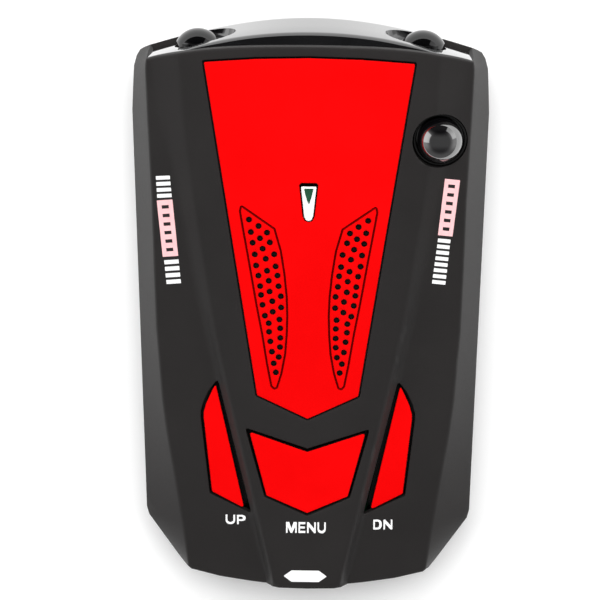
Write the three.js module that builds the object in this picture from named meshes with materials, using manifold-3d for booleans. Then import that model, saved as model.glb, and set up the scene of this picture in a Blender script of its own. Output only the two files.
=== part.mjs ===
// Dashboard radar detector: a clamshell housing with a raised spine, an inlaid grille panel,
// three push caps, a bulging front visor with two lenses, a roof lens and the electronics inside.
// Millimetres. +Z up, +Y towards the windscreen end, X across. Origin at the centre of the base.
import * as THREE from "three";
import { ConvexGeometry } from "three/addons/geometries/ConvexGeometry.js";
import { mergeVertices } from "three/addons/utils/BufferGeometryUtils.js";
import Module from "manifold-3d";

// ---------------------------------------------------------------- driving dimensions
const Z_PART = 14.0; // parting plane between the two shells
const PART_GAP = 0.3; // shadow gap at the parting plane
const WALL = 2.0; // shell wall
const SPINE_ROOF = 3.4; // roof thickness under the spine, which holds the inlay recess
const SPINE_Z = 26.0; // spine plateau height at Y = 0
const SPINE_SLOPE = 0.07; // rise of the plateau per mm towards the front
const INLAY_DEPTH = 1.6; // depth of the recess for the grille panel
const CAP_GAP = 0.3; // gap round each push cap
const CAP_PROUD = 0.3; // caps stand this far above the housing
const CAP_TRAVEL = 0.5; // push travel
const BOARD_Z = 5.5, // underside of the main board
  BOARD_T = 1.6;
const BOARD_TOP = BOARD_Z + BOARD_T;
const ROOF_LENS = { x: 24.85, y: 35.85, r: 4.4, ring: 5.2 };
const FRONT_LENS = { x: 21.45, z: 20.0, r: 4.65, y: 51.1 };
const SCREW_XY = [
  [22.9, 22.0],
  [-22.9, 22.0],
  [18.3, -43.2],
  [-18.3, -43.2],
];
const JACK = { y: 6.0, z: 9.9 };
const SLIDE = { y: -12.0, z: 9.3, travel: 2.0 };

const screwTip = (y) => (y > 0 ? 19.4 : 16.8);
const spineZ = (y) => SPINE_Z + SPINE_SLOPE * y;
const deckZ = (y) => 29.0 - 0.0875 * (52 - y); // upper face of the flanks next to the spine
const lipY = (x) => 54.05 - 0.001 * x * x - 2.4e-6 * x ** 4; // front edge of the roof in plan
const chinY = (x) => 57.05 - 0.0068 * x * x + 1.0e-6 * x ** 4; // front edge at the parting plane in plan

// ---------------------------------------------------------------- solids
const wasm = await Module();
wasm.setup();

function solid(geometry) {
  const g = (geometry.index ? geometry.toNonIndexed() : geometry).clone();
  const bare = new THREE.BufferGeometry().setAttribute(
    "position",
    g.getAttribute("position"),
  );
  const m = mergeVertices(bare, 1e-4);
  return new wasm.Manifold(
    new wasm.Mesh({
      numProp: 3,
      vertProperties: new Float32Array(m.attributes.position.array),
      triVerts: new Uint32Array(m.index.array),
    }),
  );
}
function geometryOf(s) {
  const m = s.getMesh(),
    n = m.numProp;
  const v = new Float32Array(m.numVert * 3);
  for (let i = 0; i < m.numVert; i++)
    v.set(m.vertProperties.subarray(i * n, i * n + 3), i * 3);
  return new THREE.BufferGeometry()
    .setAttribute("position", new THREE.BufferAttribute(v, 3))
    .setIndex(new THREE.BufferAttribute(new Uint32Array(m.triVerts), 1));
}
const V = (x, y, z) => new THREE.Vector3(x, y, z);
const hull = (pts) => solid(new ConvexGeometry(pts));
const mirrored = (pts) => pts.flatMap((p) => [p, V(-p.x, p.y, p.z)]);
function box(x0, x1, y0, y1, z0, z1) {
  return solid(
    new THREE.BoxGeometry(x1 - x0, y1 - y0, z1 - z0).translate(
      (x0 + x1) / 2,
      (y0 + y1) / 2,
      (z0 + z1) / 2,
    ),
  );
}
// A cylinder or cone from point a to point b.
function rod(a, b, ra, rb = ra, sides = 20) {
  const d = b.clone().sub(a);
  const g = new THREE.CylinderGeometry(rb, ra, d.length(), sides);
  const q = new THREE.Quaternion().setFromUnitVectors(
    V(0, 1, 0),
    d.clone().normalize(),
  );
  g.applyQuaternion(q).translate(...a.clone().add(b).multiplyScalar(0.5));
  return solid(g);
}
const pillar = (x, y, z0, z1, r, sides = 20) =>
  rod(V(x, y, z0), V(x, y, z1), r, r, sides);
function prism(points, z0, z1) {
  const s = new THREE.Shape(points.map((p) => new THREE.Vector2(p[0], p[1])));
  return solid(
    new THREE.ExtrudeGeometry(s, {
      depth: z1 - z0,
      bevelEnabled: false,
    }).translate(0, 0, z0),
  );
}
// Offsets a closed outline by d, outwards when d is positive.
function grow(points, d) {
  const n = points.length;
  let area = 0;
  points.forEach((p, i) => {
    const q = points[(i + 1) % n];
    area += p[0] * q[1] - q[0] * p[1];
  });
  const s = area > 0 ? 1 : -1;
  return points.map((p, i) => {
    const a = points[(i + n - 1) % n],
      b = points[(i + 1) % n];
    const u = new THREE.Vector2(p[0] - a[0], p[1] - a[1]).normalize();
    const w = new THREE.Vector2(b[0] - p[0], b[1] - p[1]).normalize();
    const n1 = new THREE.Vector2(u.y, -u.x).multiplyScalar(s),
      n2 = new THREE.Vector2(w.y, -w.x).multiplyScalar(s);
    const m = n1.clone().add(n2);
    m.multiplyScalar((2 * d) / m.lengthSq());
    if (m.length() > 2.5 * Math.abs(d)) m.setLength(2.5 * Math.abs(d));
    return [p[0] + m.x, p[1] + m.y];
  });
}
const flip = (points) => points.map((p) => [-p[0], p[1]]).reverse();

// A half space above (or below) the plane z = c + sy*y + sx*x, as a big wedge.
function slabBetween(zLow, zHigh) {
  const c = [];
  for (const x of [-60, 60])
    for (const y of [-80, 80]) c.push(V(x, y, zLow(x, y)), V(x, y, zHigh(x, y)));
  return hull(c);
}

// crease between the flank roofs and the sloping sides, which turns inwards to the rear
const FLANK_CREASE = [
  [30.0, 23.7],
  [29.35, -2.6],
  [27.6, -23.0],
  [24.6, -43.0],
];
// foot of the raised spine, where it meets the flanks
const SPINE_FOOT = [
  [29.8, 50.6],
  [27.7, 38.2],
  [21.6, 5.3],
  [17.75, -11.9],
  [11.2, -40.3],
  [8.2, -51.8],
  [6.1, -55.2],
];

// ---------------------------------------------------------------- housing envelope
// i is the inset for the cavity.
function flankPoints(i) {
  const p = [];
  // roof of the flanks
  for (const x of [0, 8, 15, 22])
    p.push(V(x, lipY(x) - i, deckZ(lipY(x)) - i));
  p.push(V(30.8 - i, lipY(30.8) - i, 27.2 - i));
  p.push(V(31.1 - i, 49.2 - i, 26.6 - i));
  for (const [x, y] of FLANK_CREASE)
    p.push(V(x - i, y, deckZ(y) - 0.045 * (x - 9) - i));
  p.push(V(23.5 - i * 0.6, -52.8 + i, 18.95 - i));
  p.push(V(17.3, -54.3 + i, 19.2 - i), V(11.3, -55.2 + i, 19.4 - i));
  p.push(V(7.0, -55.6 + i, 19.5 - i), V(0, -55.75 + i, 19.5 - i));
  // widest line
  for (const x of [0, 8, 16, 22, 26.5, 30.6])
    p.push(V(x, chinY(x) - i, Z_PART));
  p.push(V(32.85 - i, 50.55 - i * 0.8, Z_PART));
  p.push(V(33.55 - i, 49.35 - i * 0.6, Z_PART));
  p.push(V(34.07 - i, 47.4 - i * 0.4, Z_PART));
  p.push(V(34.2 - i, 45.0 - i * 0.2, Z_PART));
  p.push(V(34.45 - i, 38.8, Z_PART));
  p.push(V(31.95 - i, -42.5, Z_PART));
  p.push(V(23.8 - i * 0.7, -54.2 + i, Z_PART));
  p.push(V(16, -55.3 + i, Z_PART), V(8, -56.0 + i, Z_PART));
  p.push(V(0, -56.25 + i, Z_PART));
  // base
  for (const [z, k] of [
    [2.4, 3.2],
    [0, 5.2],
  ]) {
    const q = k + i * 0.9,
      zz = z + i;
    for (const x of [0, 12, 22]) p.push(V(x, chinY(x) - q, zz));
    p.push(V(29.0 - i, 50.6 - q, zz));
    p.push(V(34.45 - q, 42, zz), V(32.0 - q, -41.5, zz));
    p.push(V(25.0 - q * 0.7, -53.2 + q, zz), V(10, -55.8 + q, zz));
    p.push(V(0, -56.2 + q, zz));
  }
  return mirrored(p);
}
function spinePoints(i, roof) {
  const p = [];
  // plateau
  for (const x of [0, 12, 24.9 - i]) p.push(V(x, lipY(x) - i, spineZ(lipY(x)) - roof));
  for (const [x, y] of [
    [23.5, 37.8],
    [22.2, 24],
    [18.3, 0],
    [15.9, -13],
    [9.7, -41.2],
    [7.1, -53.4],
    [5.0, -55.3],
    [0, -55.6],
  ]) {
    const yy = y < -50 ? y + i : y;
    p.push(V(Math.max(0, x - i), yy, spineZ(yy) - roof));
  }
  // foot of the spine, then straight down into the flanks
  for (const [x, y] of SPINE_FOOT) {
    const yy = y > 50 ? y - i : y < -50 ? y + i : y;
    const z = deckZ(yy) - 0.05 * Math.max(0, x - 9) + 0.1;
    for (const zz of [z - roof * 0.5, 15]) p.push(V(x - i, yy, zz));
  }
  return mirrored(p);
}
const envelope = hull(flankPoints(0)).add(hull(spinePoints(0, 0)));
const cavity = hull(flankPoints(WALL)).add(
  hull(spinePoints(WALL * 1.05, SPINE_ROOF)),
);

// ---------------------------------------------------------------- outlines on the roof
const GRILLE_PANEL = [
  [-19.9, 50.95],
  [-9.8, -15.4],
  [0, -20.15],
  [9.8, -15.4],
  [19.9, 50.95],
  [10.1, 51.65],
  [0, 51.9],
  [-10.1, 51.65],
];
const MENU_CAP = [
  [-11.3, -22.95],
  [-7.95, -36.15],
  [0, -39.75],
  [7.95, -36.15],
  [11.3, -22.95],
  [0, -27],
];
const UP_CAP = [
  [-17.95, -13.7],
  [-18.85, -15.6],
  [-19.8, -17.8],
  [-20.28, -19.6],
  [-20.3, -20.7],
  [-18.72, -36.2],
  [-12.4, -39.6],
];
const WINDOW = [
  [-1.68, 27.1],
  [-1.02, 20.95],
  [-0.65, 20.1],
  [0, 19.85],
  [0.65, 20.1],
  [1.02, 20.95],
  [1.68, 27.1],
  [1.4, 27.35],
  [-1.4, 27.35],
];
// The grille field on the left, and its holes.
const GRILLE_FIELD = [
  [-12.88, 22.89],
  [-6.51, 18.35],
  [-5.28, 13.96],
  [-4.58, 9.35],
  [-4.12, 4.72],
  [-3.99, 0.88],
  [-4.1, -2.98],
  [-4.38, -6.85],
  [-5.1, -10.86],
  [-5.95, -13.74],
  [-6.5, -14.03],
  [-7.05, -13.41],
  [-7.87, -9.04],
  [-8.81, -3.01],
  [-10.01, 3.48],
  [-11.42, 11.93],
  [-12.6, 18.72],
  [-13.11, 21.78],
];
const HOLES = [
  [-11.38, 20.14], [-9.56, 18.88], [-11.02, 17.65], [-7.93, 17.57], [-9.28, 16.44],
  [-10.67, 15.52], [-7.38, 15.63], [-8.75, 14.35], [-10.27, 13.2], [-6.55, 13.27],
  [-8.17, 12.34], [-10.01, 10.97], [-6.27, 10.84], [-7.91, 9.93], [-9.56, 8.95],
  [-5.91, 8.99], [-7.58, 7.93], [-9.23, 6.84], [-5.7, 6.86], [-7.42, 5.77],
  [-9.06, 5.07], [-5.26, 4.83], [-6.89, 3.82], [-8.78, 3.06], [-5.2, 2.57],
  [-6.8, 1.68], [-8.32, 0.87], [-5.5, 0.14], [-7.57, -0.65], [-5.36, -1.65],
  [-7.5, -2.39], [-5.34, -3.59], [-7.26, -4.33], [-5.39, -5.46], [-6.95, -6.43],
  [-5.62, -7.49], [-6.59, -8.8], [-6.18, -10.63],
];
const HOLE_R = 0.6;

// ---------------------------------------------------------------- top shell
const keepTop = box(-60, 60, -80, 80, Z_PART + PART_GAP / 2, 60);
const keepBottom = box(-60, 60, -80, 80, -1, Z_PART - PART_GAP / 2);
const halfShell = envelope.subtract(cavity);

// front opening for the visor, between the posts at each corner; the chin rises towards the corners
const OPEN_X = 31.0;
const CHIN_X = 22,
  CORNER_X = 25.5; // the chin climbs from its low middle to the parting plane between these
function openingHull(stations) {
  const p = [];
  for (const [x, low] of stations) {
    const top = spineZ(53) - 1.7 - 0.25 * Math.max(0, x - 23.4);
    p.push(V(x, 60, top), V(x, lipY(x) - 4.5, top));
    p.push(V(x, 60, low), V(x, lipY(x) - 4.5, low));
  }
  return hull(mirrored(p));
}
const frontOpening = openingHull([
  [0, 10.5],
  [12, 10.5],
  [CHIN_X, 10.5],
  [23.4, 11.86],
  [CORNER_X, 13.9],
]).add(
  openingHull([
    [0, 13.9],
    [12, 13.9],
    [23.4, 13.9],
    [CORNER_X, 13.9],
    [OPEN_X, 13.9],
  ]),
);
const rearOpening = box(-17.3, 17.3, -60, -50, 6.2, 16.9);

let topShell = halfShell.intersect(keepTop);
topShell = topShell.subtract(
  prism(grow(GRILLE_PANEL, 0.2), 15, 40).intersect(
    slabBetween(
      (x, y) => spineZ(y) - INLAY_DEPTH,
      (x, y) => spineZ(y) + 8,
    ),
  ),
);
// openings under the grille fields let the sound out
const SOUND_SLOT = grow(
  GRILLE_FIELD.filter((p) => p[1] > -13.3 && p[1] < 22.5),
  -0.5,
);
const soundSlot = prism(SOUND_SLOT, 15, 40);
const soundSlotR = prism(flip(SOUND_SLOT), 15, 40);
topShell = topShell.subtract(soundSlot).subtract(soundSlotR);
topShell = topShell.subtract(prism(grow(WINDOW, 0.3), 15, 40));
topShell = topShell.subtract(prism(grow(MENU_CAP, CAP_GAP), 15, 40));
topShell = topShell.subtract(prism(grow(UP_CAP, CAP_GAP), 15, 40));
topShell = topShell.subtract(prism(grow(flip(UP_CAP), CAP_GAP), 15, 40));
// Seat for the roof lens and its ring, with a collar below that the ring rests on.
topShell = topShell
  .subtract(pillar(ROOF_LENS.x, ROOF_LENS.y, 15, 40, ROOF_LENS.ring, 32))
  .add(
    pillar(ROOF_LENS.x, ROOF_LENS.y, 20.6, 24.6, 6.6, 24)
      .intersect(hull(flankPoints(0.6)))
      .subtract(pillar(ROOF_LENS.x, ROOF_LENS.y, 15, 40, 4.6, 24))
      .subtract(pillar(ROOF_LENS.x, ROOF_LENS.y, 22.6, 40, ROOF_LENS.ring, 32)),
  );
topShell = topShell.subtract(frontOpening).subtract(rearOpening);
// Screw bosses, inside the housing only.
for (const [x, y] of SCREW_XY) {
  const boss = pillar(x, y, Z_PART + 0.8, 40, 2.9, 16)
    .intersect(envelope.intersect(hull(flankPoints(1.0))))
    ;
  topShell = topShell.add(boss).subtract(pillar(x, y, 10, screwTip(y) + 0.4, 1.25, 12));
}
// the bosses by the front corners stay clear of the lens seat
topShell = topShell.subtract(
  pillar(ROOF_LENS.x, ROOF_LENS.y, 24.2, 40, ROOF_LENS.ring, 32),
);

// ---------------------------------------------------------------- bottom shell
let bottomShell = halfShell.intersect(keepBottom);
bottomShell = bottomShell.subtract(frontOpening).subtract(rearOpening);
// recess for the non-slip pad
const PAD = [
  [-16.6, -37.5],
  [16.6, -37.5],
  [18.8, -33.8],
  [19.2, 36],
  [16.8, 39.6],
  [-16.8, 39.6],
  [-19.2, 36],
  [-18.8, -33.8],
];
const PAD_T = 1.0,
  PAD_DEPTH = 0.6;
bottomShell = bottomShell.subtract(prism(grow(PAD, 0.25), -1, PAD_DEPTH));
for (const [x, y] of SCREW_XY) {
  bottomShell = bottomShell.add(
    pillar(x, y, 1.0, Z_PART - 0.4, 3.6, 20).intersect(hull(flankPoints(0.4))),
  );
  bottomShell = bottomShell.subtract(pillar(x, y, -1, 30, 1.5, 12));
  bottomShell = bottomShell.subtract(pillar(x, y, -1, 8.0, 2.7, 18));
}
// board pillars
const BOARD_SCREWS = [
  [0, -20.5],
  [-24.0, 9.0],
  [24.0, 14.0],
];
for (const [x, y] of BOARD_SCREWS)
  bottomShell = bottomShell
    .add(pillar(x, y, 1.5, BOARD_Z, 2.6, 16))
    .subtract(pillar(x, y, 2.6, 9, 0.95, 10));
// side openings for the power inlet and the slide switch
bottomShell = bottomShell
  .subtract(rod(V(28, JACK.y, JACK.z), V(40, JACK.y, JACK.z), 3.0, 3.0, 20))
  .subtract(
    box(29, 40, SLIDE.y - 3.0, SLIDE.y + 3.0, SLIDE.z - 1.3, SLIDE.z + 1.3),
  );
// ledge that carries the horn
bottomShell = bottomShell
  .add(box(-17, -12, 20, 46, 1.5, 3.2))
  .add(box(12, 17, 20, 46, 1.5, 3.2));

// ---------------------------------------------------------------- inlaid grille panel
let grillePanel = prism(GRILLE_PANEL, 15, 40).intersect(
  slabBetween(
    (x, y) => spineZ(y) - INLAY_DEPTH + 0.3,
    (x, y) => spineZ(y) + 0.1,
  ),
);
grillePanel = grillePanel.subtract(prism(grow(WINDOW, 0.2), 15, 40));
for (const [x, y] of HOLES)
  for (const s of [1, -1])
    grillePanel = grillePanel.subtract(
      pillar(s * x, y, 15, 40, HOLE_R, 6),
    );

const indicatorWindow = prism(WINDOW, 18, 40)
  .intersect(
    slabBetween(
      () => 22.8,
      (x, y) => spineZ(y) + 0.2,
    ),
  )
  .add(box(-2.6, 2.6, 20.0, 28.0, 21.6, 22.9));

// ---------------------------------------------------------------- push caps
const deckAt = (x, y) => {
  // flank roof beside the spine: falls slightly outwards
  const t = Math.max(0, Math.abs(x) - 9);
  return deckZ(y) - 0.045 * t;
};
function capSolid(outline, top, stemX, stemY, flangeZ) {
  const plate = prism(outline, 10, 40).intersect(
    slabBetween(
      (x, y) => top(x, y) - 4.6,
      (x, y) => top(x, y) + CAP_PROUD,
    ),
  );
  const flange = prism(grow(outline, 0.7), 10, 40).intersect(
    slabBetween(
      (x, y) => top(x, y) - flangeZ - 1.1,
      (x, y) => top(x, y) - flangeZ,
    ),
  );
  const stem = pillar(stemX, stemY, 11.95, top(stemX, stemY) - 3, 1.7, 16);
  return plate.add(flange).add(stem);
}
const menuCap = capSolid(MENU_CAP, (x, y) => spineZ(y), 0, -32, SPINE_ROOF + 0.5);
const upTop = (x, y) => deckZ(y) + 0.27 + 0.045 * (x + 9) ;
const downTop = (x, y) => deckZ(y) + 0.27 - 0.045 * (x - 9);
const upCap = capSolid(UP_CAP, upTop, -17.2, -30, WALL + 1.3);
const downCap = capSolid(flip(UP_CAP), downTop, 17.2, -30, WALL + 1.3);

// ---------------------------------------------------------------- tactile switches
function switchHousing(x, y) {
  return box(x - 3, x + 3, y - 3, y + 3, BOARD_TOP + 0.05, BOARD_TOP + 3.5)
    .subtract(pillar(x, y, BOARD_TOP + 1.6, 20, 1.85, 16));
}
const plunger = (x, y) => pillar(x, y, BOARD_TOP + 2.4, 11.93, 1.6, 16);

// ---------------------------------------------------------------- lenses
function dome(r, cut, sides = 24) {
  // a ball cap over z = 0, on a short skirt
  const pts = [];
  const rim = Math.sqrt(r * r - cut * cut);
  pts.push(new THREE.Vector2(0, -1.6), new THREE.Vector2(rim, -1.6));
  const a0 = Math.asin(cut / r);
  const steps = 6;
  for (let k = 0; k <= steps; k++) {
    const a = a0 + ((Math.PI / 2 - a0) * k) / steps;
    pts.push(
      new THREE.Vector2(k === steps ? 0 : r * Math.cos(a), r * Math.sin(a) - cut),
    );
  }
  return new THREE.LatheGeometry(pts, sides).rotateX(Math.PI / 2);
}
const roofLensSeatZ = 27.0;
const roofLens = solid(
  dome(ROOF_LENS.r, 0.4).translate(ROOF_LENS.x, ROOF_LENS.y, roofLensSeatZ),
).add(pillar(ROOF_LENS.x, ROOF_LENS.y, 23.0, 25.7, 4.3, 24));
const roofRing = pillar(ROOF_LENS.x, ROOF_LENS.y, 22.8, 26.1, ROOF_LENS.ring - 0.15, 32)
  .subtract(pillar(ROOF_LENS.x, ROOF_LENS.y, 10, 40, 4.5, 24))
  .intersect(
    slabBetween(
      () => 10,
      (x, y) => 26.3 + 0.0875 * (y - 35.8) - 0.12 * (x - 24.7),
    ),
  );

// ---------------------------------------------------------------- visor
const ramp = (x) => Math.min(1, Math.max(0, (x - CHIN_X) / (CORNER_X - CHIN_X)));
function visorPoints(back, zTopCut, zLow, xs) {
  const p = [];
  for (const x of xs) {
    const zLip = x <= 23.4 ? spineZ(53) - 2.0 : spineZ(53) - 2.0 - (2.2 * (x - 23.4)) / 7.2;
    const swell = 1.95 * Math.max(0, 1 - (x / 23.5) ** 2);
    const y0 = lipY(x) - 0.35 - back;
    const low = Math.max(zLow, 10.9 + 3.4 * ramp(x)); // lower edge follows the chin
    const yb = 48.4 - 0.0028 * x * x;
    p.push(V(x, y0, zLip - zTopCut));
    if (swell > 0.05)
      p.push(V(x, y0 + 0.35 + swell, zLip - 0.3 - swell - zTopCut * 0.5));
    p.push(V(x, chinY(x) - 0.1 - 0.75 * ramp(x) - back, Z_PART + 0.3));
    if (low < Z_PART + 0.2) p.push(V(x, chinY(x) - 0.4 - back, low));
    p.push(V(x, yb, zLip - zTopCut), V(x, yb, low));
  }
  return mirrored(p);
}
const visorHull = (back, zTopCut, zLow, end) =>
  hull(visorPoints(back, zTopCut, zLow, [0, 5, 10, 15, 19, CHIN_X, CORNER_X - 0.3])).add(
    hull(visorPoints(back, zTopCut, Z_PART + 0.3, [0, 5, 10, 15, 19, 23, 26.5, end])),
  );
let visor = visorHull(0, 0, 10.9, OPEN_X - 0.3).subtract(
  visorHull(2.0, 1.6, 12.4, OPEN_X - 2.2).add(box(-27, 27, 40, 49.6, 14.3, 25.0)),
);
visor = visor.intersect(box(-60, 60, 48.75, 80, 0, 60));
const faceY = (x, z) => {
  const zl = spineZ(53) - 3;
  const t = (zl - z) / (zl - Z_PART);
  return lipY(x) - 0.3 + (chinY(x) - lipY(x)) * t;
};
for (const s of [1, -1]) {
  // eye-shaped recess with the lens hole in it
  const g = new THREE.CylinderGeometry(1, 1, 4, 28)
    .scale(6.6, 1, 4.5)
    .translate(s * (FRONT_LENS.x - 0.4), 0, FRONT_LENS.z)
    .translate(0, faceY(FRONT_LENS.x, FRONT_LENS.z) + 2 - 0.75, 0);
  visor = visor
    .subtract(solid(g))
    .subtract(
      rod(
        V(s * FRONT_LENS.x, 45, FRONT_LENS.z),
        V(s * FRONT_LENS.x, 60, FRONT_LENS.z),
        4.45,
        4.45,
        28,
      ),
    );
}
function frontLens(s) {
  const g = dome(FRONT_LENS.r, 2.2, 28)
    .rotateX(-Math.PI / 2)
    .translate(s * FRONT_LENS.x, FRONT_LENS.y + 2.2, FRONT_LENS.z);
  return solid(g).add(
    rod(
      V(s * FRONT_LENS.x, FRONT_LENS.y + 0.9, FRONT_LENS.z),
      V(s * FRONT_LENS.x, FRONT_LENS.y - 1.6, FRONT_LENS.z),
      4.15,
      4.15,
      28,
    ),
  );
}

// ---------------------------------------------------------------- rear display
const displayWindow = box(-17.0, 17.0, -56.6, -53.6, 6.5, 16.6)
  .intersect(hull(flankPoints(0.25)))
  .add(box(-18.6, 18.6, -53.65, -52.6, 5.2, 17.6).intersect(hull(flankPoints(WALL + 0.25))));
const ledDisplay = box(-14.5, 14.5, -52.3, -49.2, 6.9, 16.2);
const displayBoard = box(-17.5, 17.5, -48.9, -47.7, 7.4, 17.2);

// ---------------------------------------------------------------- main board and what is on it
const BOARD = [
  [-18.4, -47.2],
  [18.4, -47.2],
  [18.4, -41],
  [27, -37],
  [28, 10],
  [28, 17],
  [21.6, 17],
  [21.6, 27],
  [27.9, 27],
  [27.9, 38],
  [21.6, 38],
  [21.6, 45],
  [18.9, 45],
  [18.9, 16.2],
  [-18.9, 16.2],
  [-18.9, 45],
  [-21.6, 45],
  [-21.6, 17],
  [-28, 17],
  [-28, 10],
  [-27, -37],
  [-18.4, -41],
];
let mainBoard = prism(BOARD, BOARD_Z + 0.05, BOARD_TOP);
// cut away around the case screw posts
for (const [x, y] of SCREW_XY) mainBoard = mainBoard.subtract(pillar(x, y, 0, 20, 3.9, 24));
for (const [x, y] of BOARD_SCREWS)
  mainBoard = mainBoard.subtract(pillar(x, y, 0, 20, 1.35, 12));

// Horn antenna: a cast box with a flared mouth that faces the windscreen.
const horn = box(-18.3, 18.3, 18.0, 46.5, 3.4, 18.6)
  .subtract(
    hull([
      V(-16.3, 47, 5.0), V(16.3, 47, 5.0), V(-16.3, 47, 17.0), V(16.3, 47, 17.0),
      V(-5.2, 24, 8.6), V(5.2, 24, 8.6), V(-5.2, 24, 13.4), V(5.2, 24, 13.4),
    ]),
  );
const microwaveBoard = box(-14.5, 14.5, 16.7, 17.7, 8.0, 18.2);
const shieldCan = box(-10.5, 10.5, 13.6, 16.4, 8.9, 17.4);
const sensorBoard = box(-7.0, 7.0, 19.0, 30.0, 18.9, 19.9);
const indicatorLed = box(-1.6, 1.6, 22.0, 25.6, 20.0, 21.3);

function laserSensor(x, yFace, z, up) {
  // an upright card with a photodiode at its top
  if (up)
    return box(x - 2.6, x + 2.6, 33.7, 35.0, 5.6, 21.6).add(
      box(x - 2.4, x + 2.4, 33.7, 37.8, 19.6, 21.8),
    );
  const s = Math.sign(x);
  return box(x - 2.8, x + 2.8, yFace - 3.0, yFace - 1.8, BOARD_TOP + 0.1, z + 4).add(
    box(x - 2.6, x + 2.6, yFace - 2.0, yFace - 0.2, z - 2.4, z + 2.4),
  );
}
const SENSOR_FACE = 48.2;
const laserLeft = laserSensor(-FRONT_LENS.x + 0.2, SENSOR_FACE, FRONT_LENS.z, false);
const laserRight = laserSensor(FRONT_LENS.x - 0.2, SENSOR_FACE, FRONT_LENS.z, false);
// The roof sensor stands on the board's right arm.
const laserRoof = box(22.1, 27.3, 29.6, 30.8, BOARD_TOP + 0.1, 20.6)
  .add(box(22.3, 27.1, 29.6, 37.6, 19.4, 20.6))
  .add(box(22.5, 26.9, 33.6, 37.4, 20.4, 22.2));

// Loudspeaker under the grille.
const SPK = { x: 0, y: -2.0, z: 17.4 };
const speakerFrame = solid(
  new THREE.LatheGeometry(
    [
      [9.4, -3.0], [14.0, 0.4], [15.2, 0.4], [15.2, 1.6], [13.0, 1.6], [8.4, -1.6], [8.4, -3.0],
    ].map((p) => new THREE.Vector2(...p)).concat(new THREE.Vector2(9.4, -3.0)),
    28,
  )
    .rotateX(Math.PI / 2)
    .translate(SPK.x, SPK.y, SPK.z),
);
const speakerMagnet = pillar(SPK.x, SPK.y, SPK.z - 6.3, SPK.z - 3.3, 8.2, 28);
const speakerCone = solid(
  new THREE.LatheGeometry(
    [
      [0, -1.0], [3.2, -1.9], [7.6, -1.5], [12.4, 1.5], [12.4, 2.0], [7.4, -0.7], [3.4, -1.1], [0, 0.1],
    ].map((p) => new THREE.Vector2(...p)),
    28,
  )
    .rotateX(Math.PI / 2)
    .translate(SPK.x, SPK.y, SPK.z),
);

// Power inlet on the right side: a moulded block with a barrel through the wall.
const dcJack = box(20.6, 29.1, JACK.y - 3.4, JACK.y + 3.4, BOARD_TOP + 0.05, JACK.z + 3.3)
  .add(rod(V(29.0, JACK.y, JACK.z), V(32.5, JACK.y, JACK.z), 2.7, 2.7, 20))
  .subtract(rod(V(23.4, JACK.y, JACK.z), V(40, JACK.y, JACK.z), 1.75, 1.75, 20))
  .add(rod(V(21.4, JACK.y, JACK.z), V(31.6, JACK.y, JACK.z), 0.6, 0.6, 10));
// Slide switch behind the same side.
const slideHousing = box(24.2, 28.4, SLIDE.y - 4.6, SLIDE.y + 4.6, BOARD_TOP + 0.05, BOARD_TOP + 4.1)
  .subtract(box(25.4, 40, SLIDE.y - 2.8, SLIDE.y + 2.8, SLIDE.z - 1.1, SLIDE.z + 1.1));
const slideKnob = box(25.8, 28.2, SLIDE.y - 2.6, SLIDE.y + 0.4, SLIDE.z - 0.85, SLIDE.z + 0.85)
  .add(box(28.1, 32.2, SLIDE.y - 2.1, SLIDE.y - 0.1, SLIDE.z - 0.85, SLIDE.z + 0.85));

const processor = box(-17.5, -7.5, -6.0, 4.0, BOARD_TOP + 0.08, BOARD_TOP + 1.5);
const amplifier = box(9.0, 14.0, -8.0, -4.0, BOARD_TOP + 0.08, BOARD_TOP + 1.7);
const capacitor = pillar(-23.5, -14.0, BOARD_TOP + 0.1, BOARD_TOP + 8.0, 3.15, 20);
const coil = pillar(20.5, -25.0 + 8.0, BOARD_TOP + 0.1, BOARD_TOP + 4.2, 3.0, 8);

// ---------------------------------------------------------------- screws
function screw(x, y, zHead, zTip, rHead, rShank, headH) {
  // head below, shank going up
  const head = pillar(x, y, zHead, zHead + headH, rHead, 18)
    .subtract(box(x - rHead * 0.62, x + rHead * 0.62, y - 0.3, y + 0.3, zHead - 1, zHead + headH * 0.5))
    .subtract(box(x - 0.3, x + 0.3, y - rHead * 0.62, y + rHead * 0.62, zHead - 1, zHead + headH * 0.5));
  return head.add(pillar(x, y, zHead + headH - 0.1, zTip, rShank, 12));
}
const caseScrews = SCREW_XY.map(([x, y]) => screw(x, y, 6.2, screwTip(y), 2.35, 1.05, 1.7));
const boardScrews = BOARD_SCREWS.map(([x, y]) =>
  pillar(x, y, BOARD_TOP + 0.1, BOARD_TOP + 1.5, 2.1, 16)
    .subtract(box(x - 1.3, x + 1.3, y - 0.3, y + 0.3, BOARD_TOP + 0.9, 20))
    .subtract(box(x - 0.3, x + 0.3, y - 1.3, y + 1.3, BOARD_TOP + 0.9, 20))
    .add(pillar(x, y, 3.0, BOARD_TOP + 0.2, 0.85, 10)),
);

// ---------------------------------------------------------------- wires to the loudspeaker
function wire(points, r) {
  const curve = new THREE.CatmullRomCurve3(points.map((p) => V(...p)));
  const s = new THREE.Shape();
  for (let k = 0; k < 8; k++) {
    const a = (k / 8) * Math.PI * 2;
    k ? s.lineTo(r * Math.cos(a), r * Math.sin(a)) : s.moveTo(r, 0);
  }
  return solid(
    new THREE.ExtrudeGeometry(s, { steps: 14, bevelEnabled: false, extrudePath: curve }),
  );
}
const wireRed = wire([[16.6, 2.4, 15.6], [18.2, 3.4, 13.2], [17.4, 3.0, 10.4], [16.4, 2.0, 7.6]], 0.45);
const wireBlack = wire([[16.6, -1.4, 15.6], [18.2, -0.4, 13.2], [17.4, -0.8, 10.4], [16.4, -1.8, 7.6]], 0.45);

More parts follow.
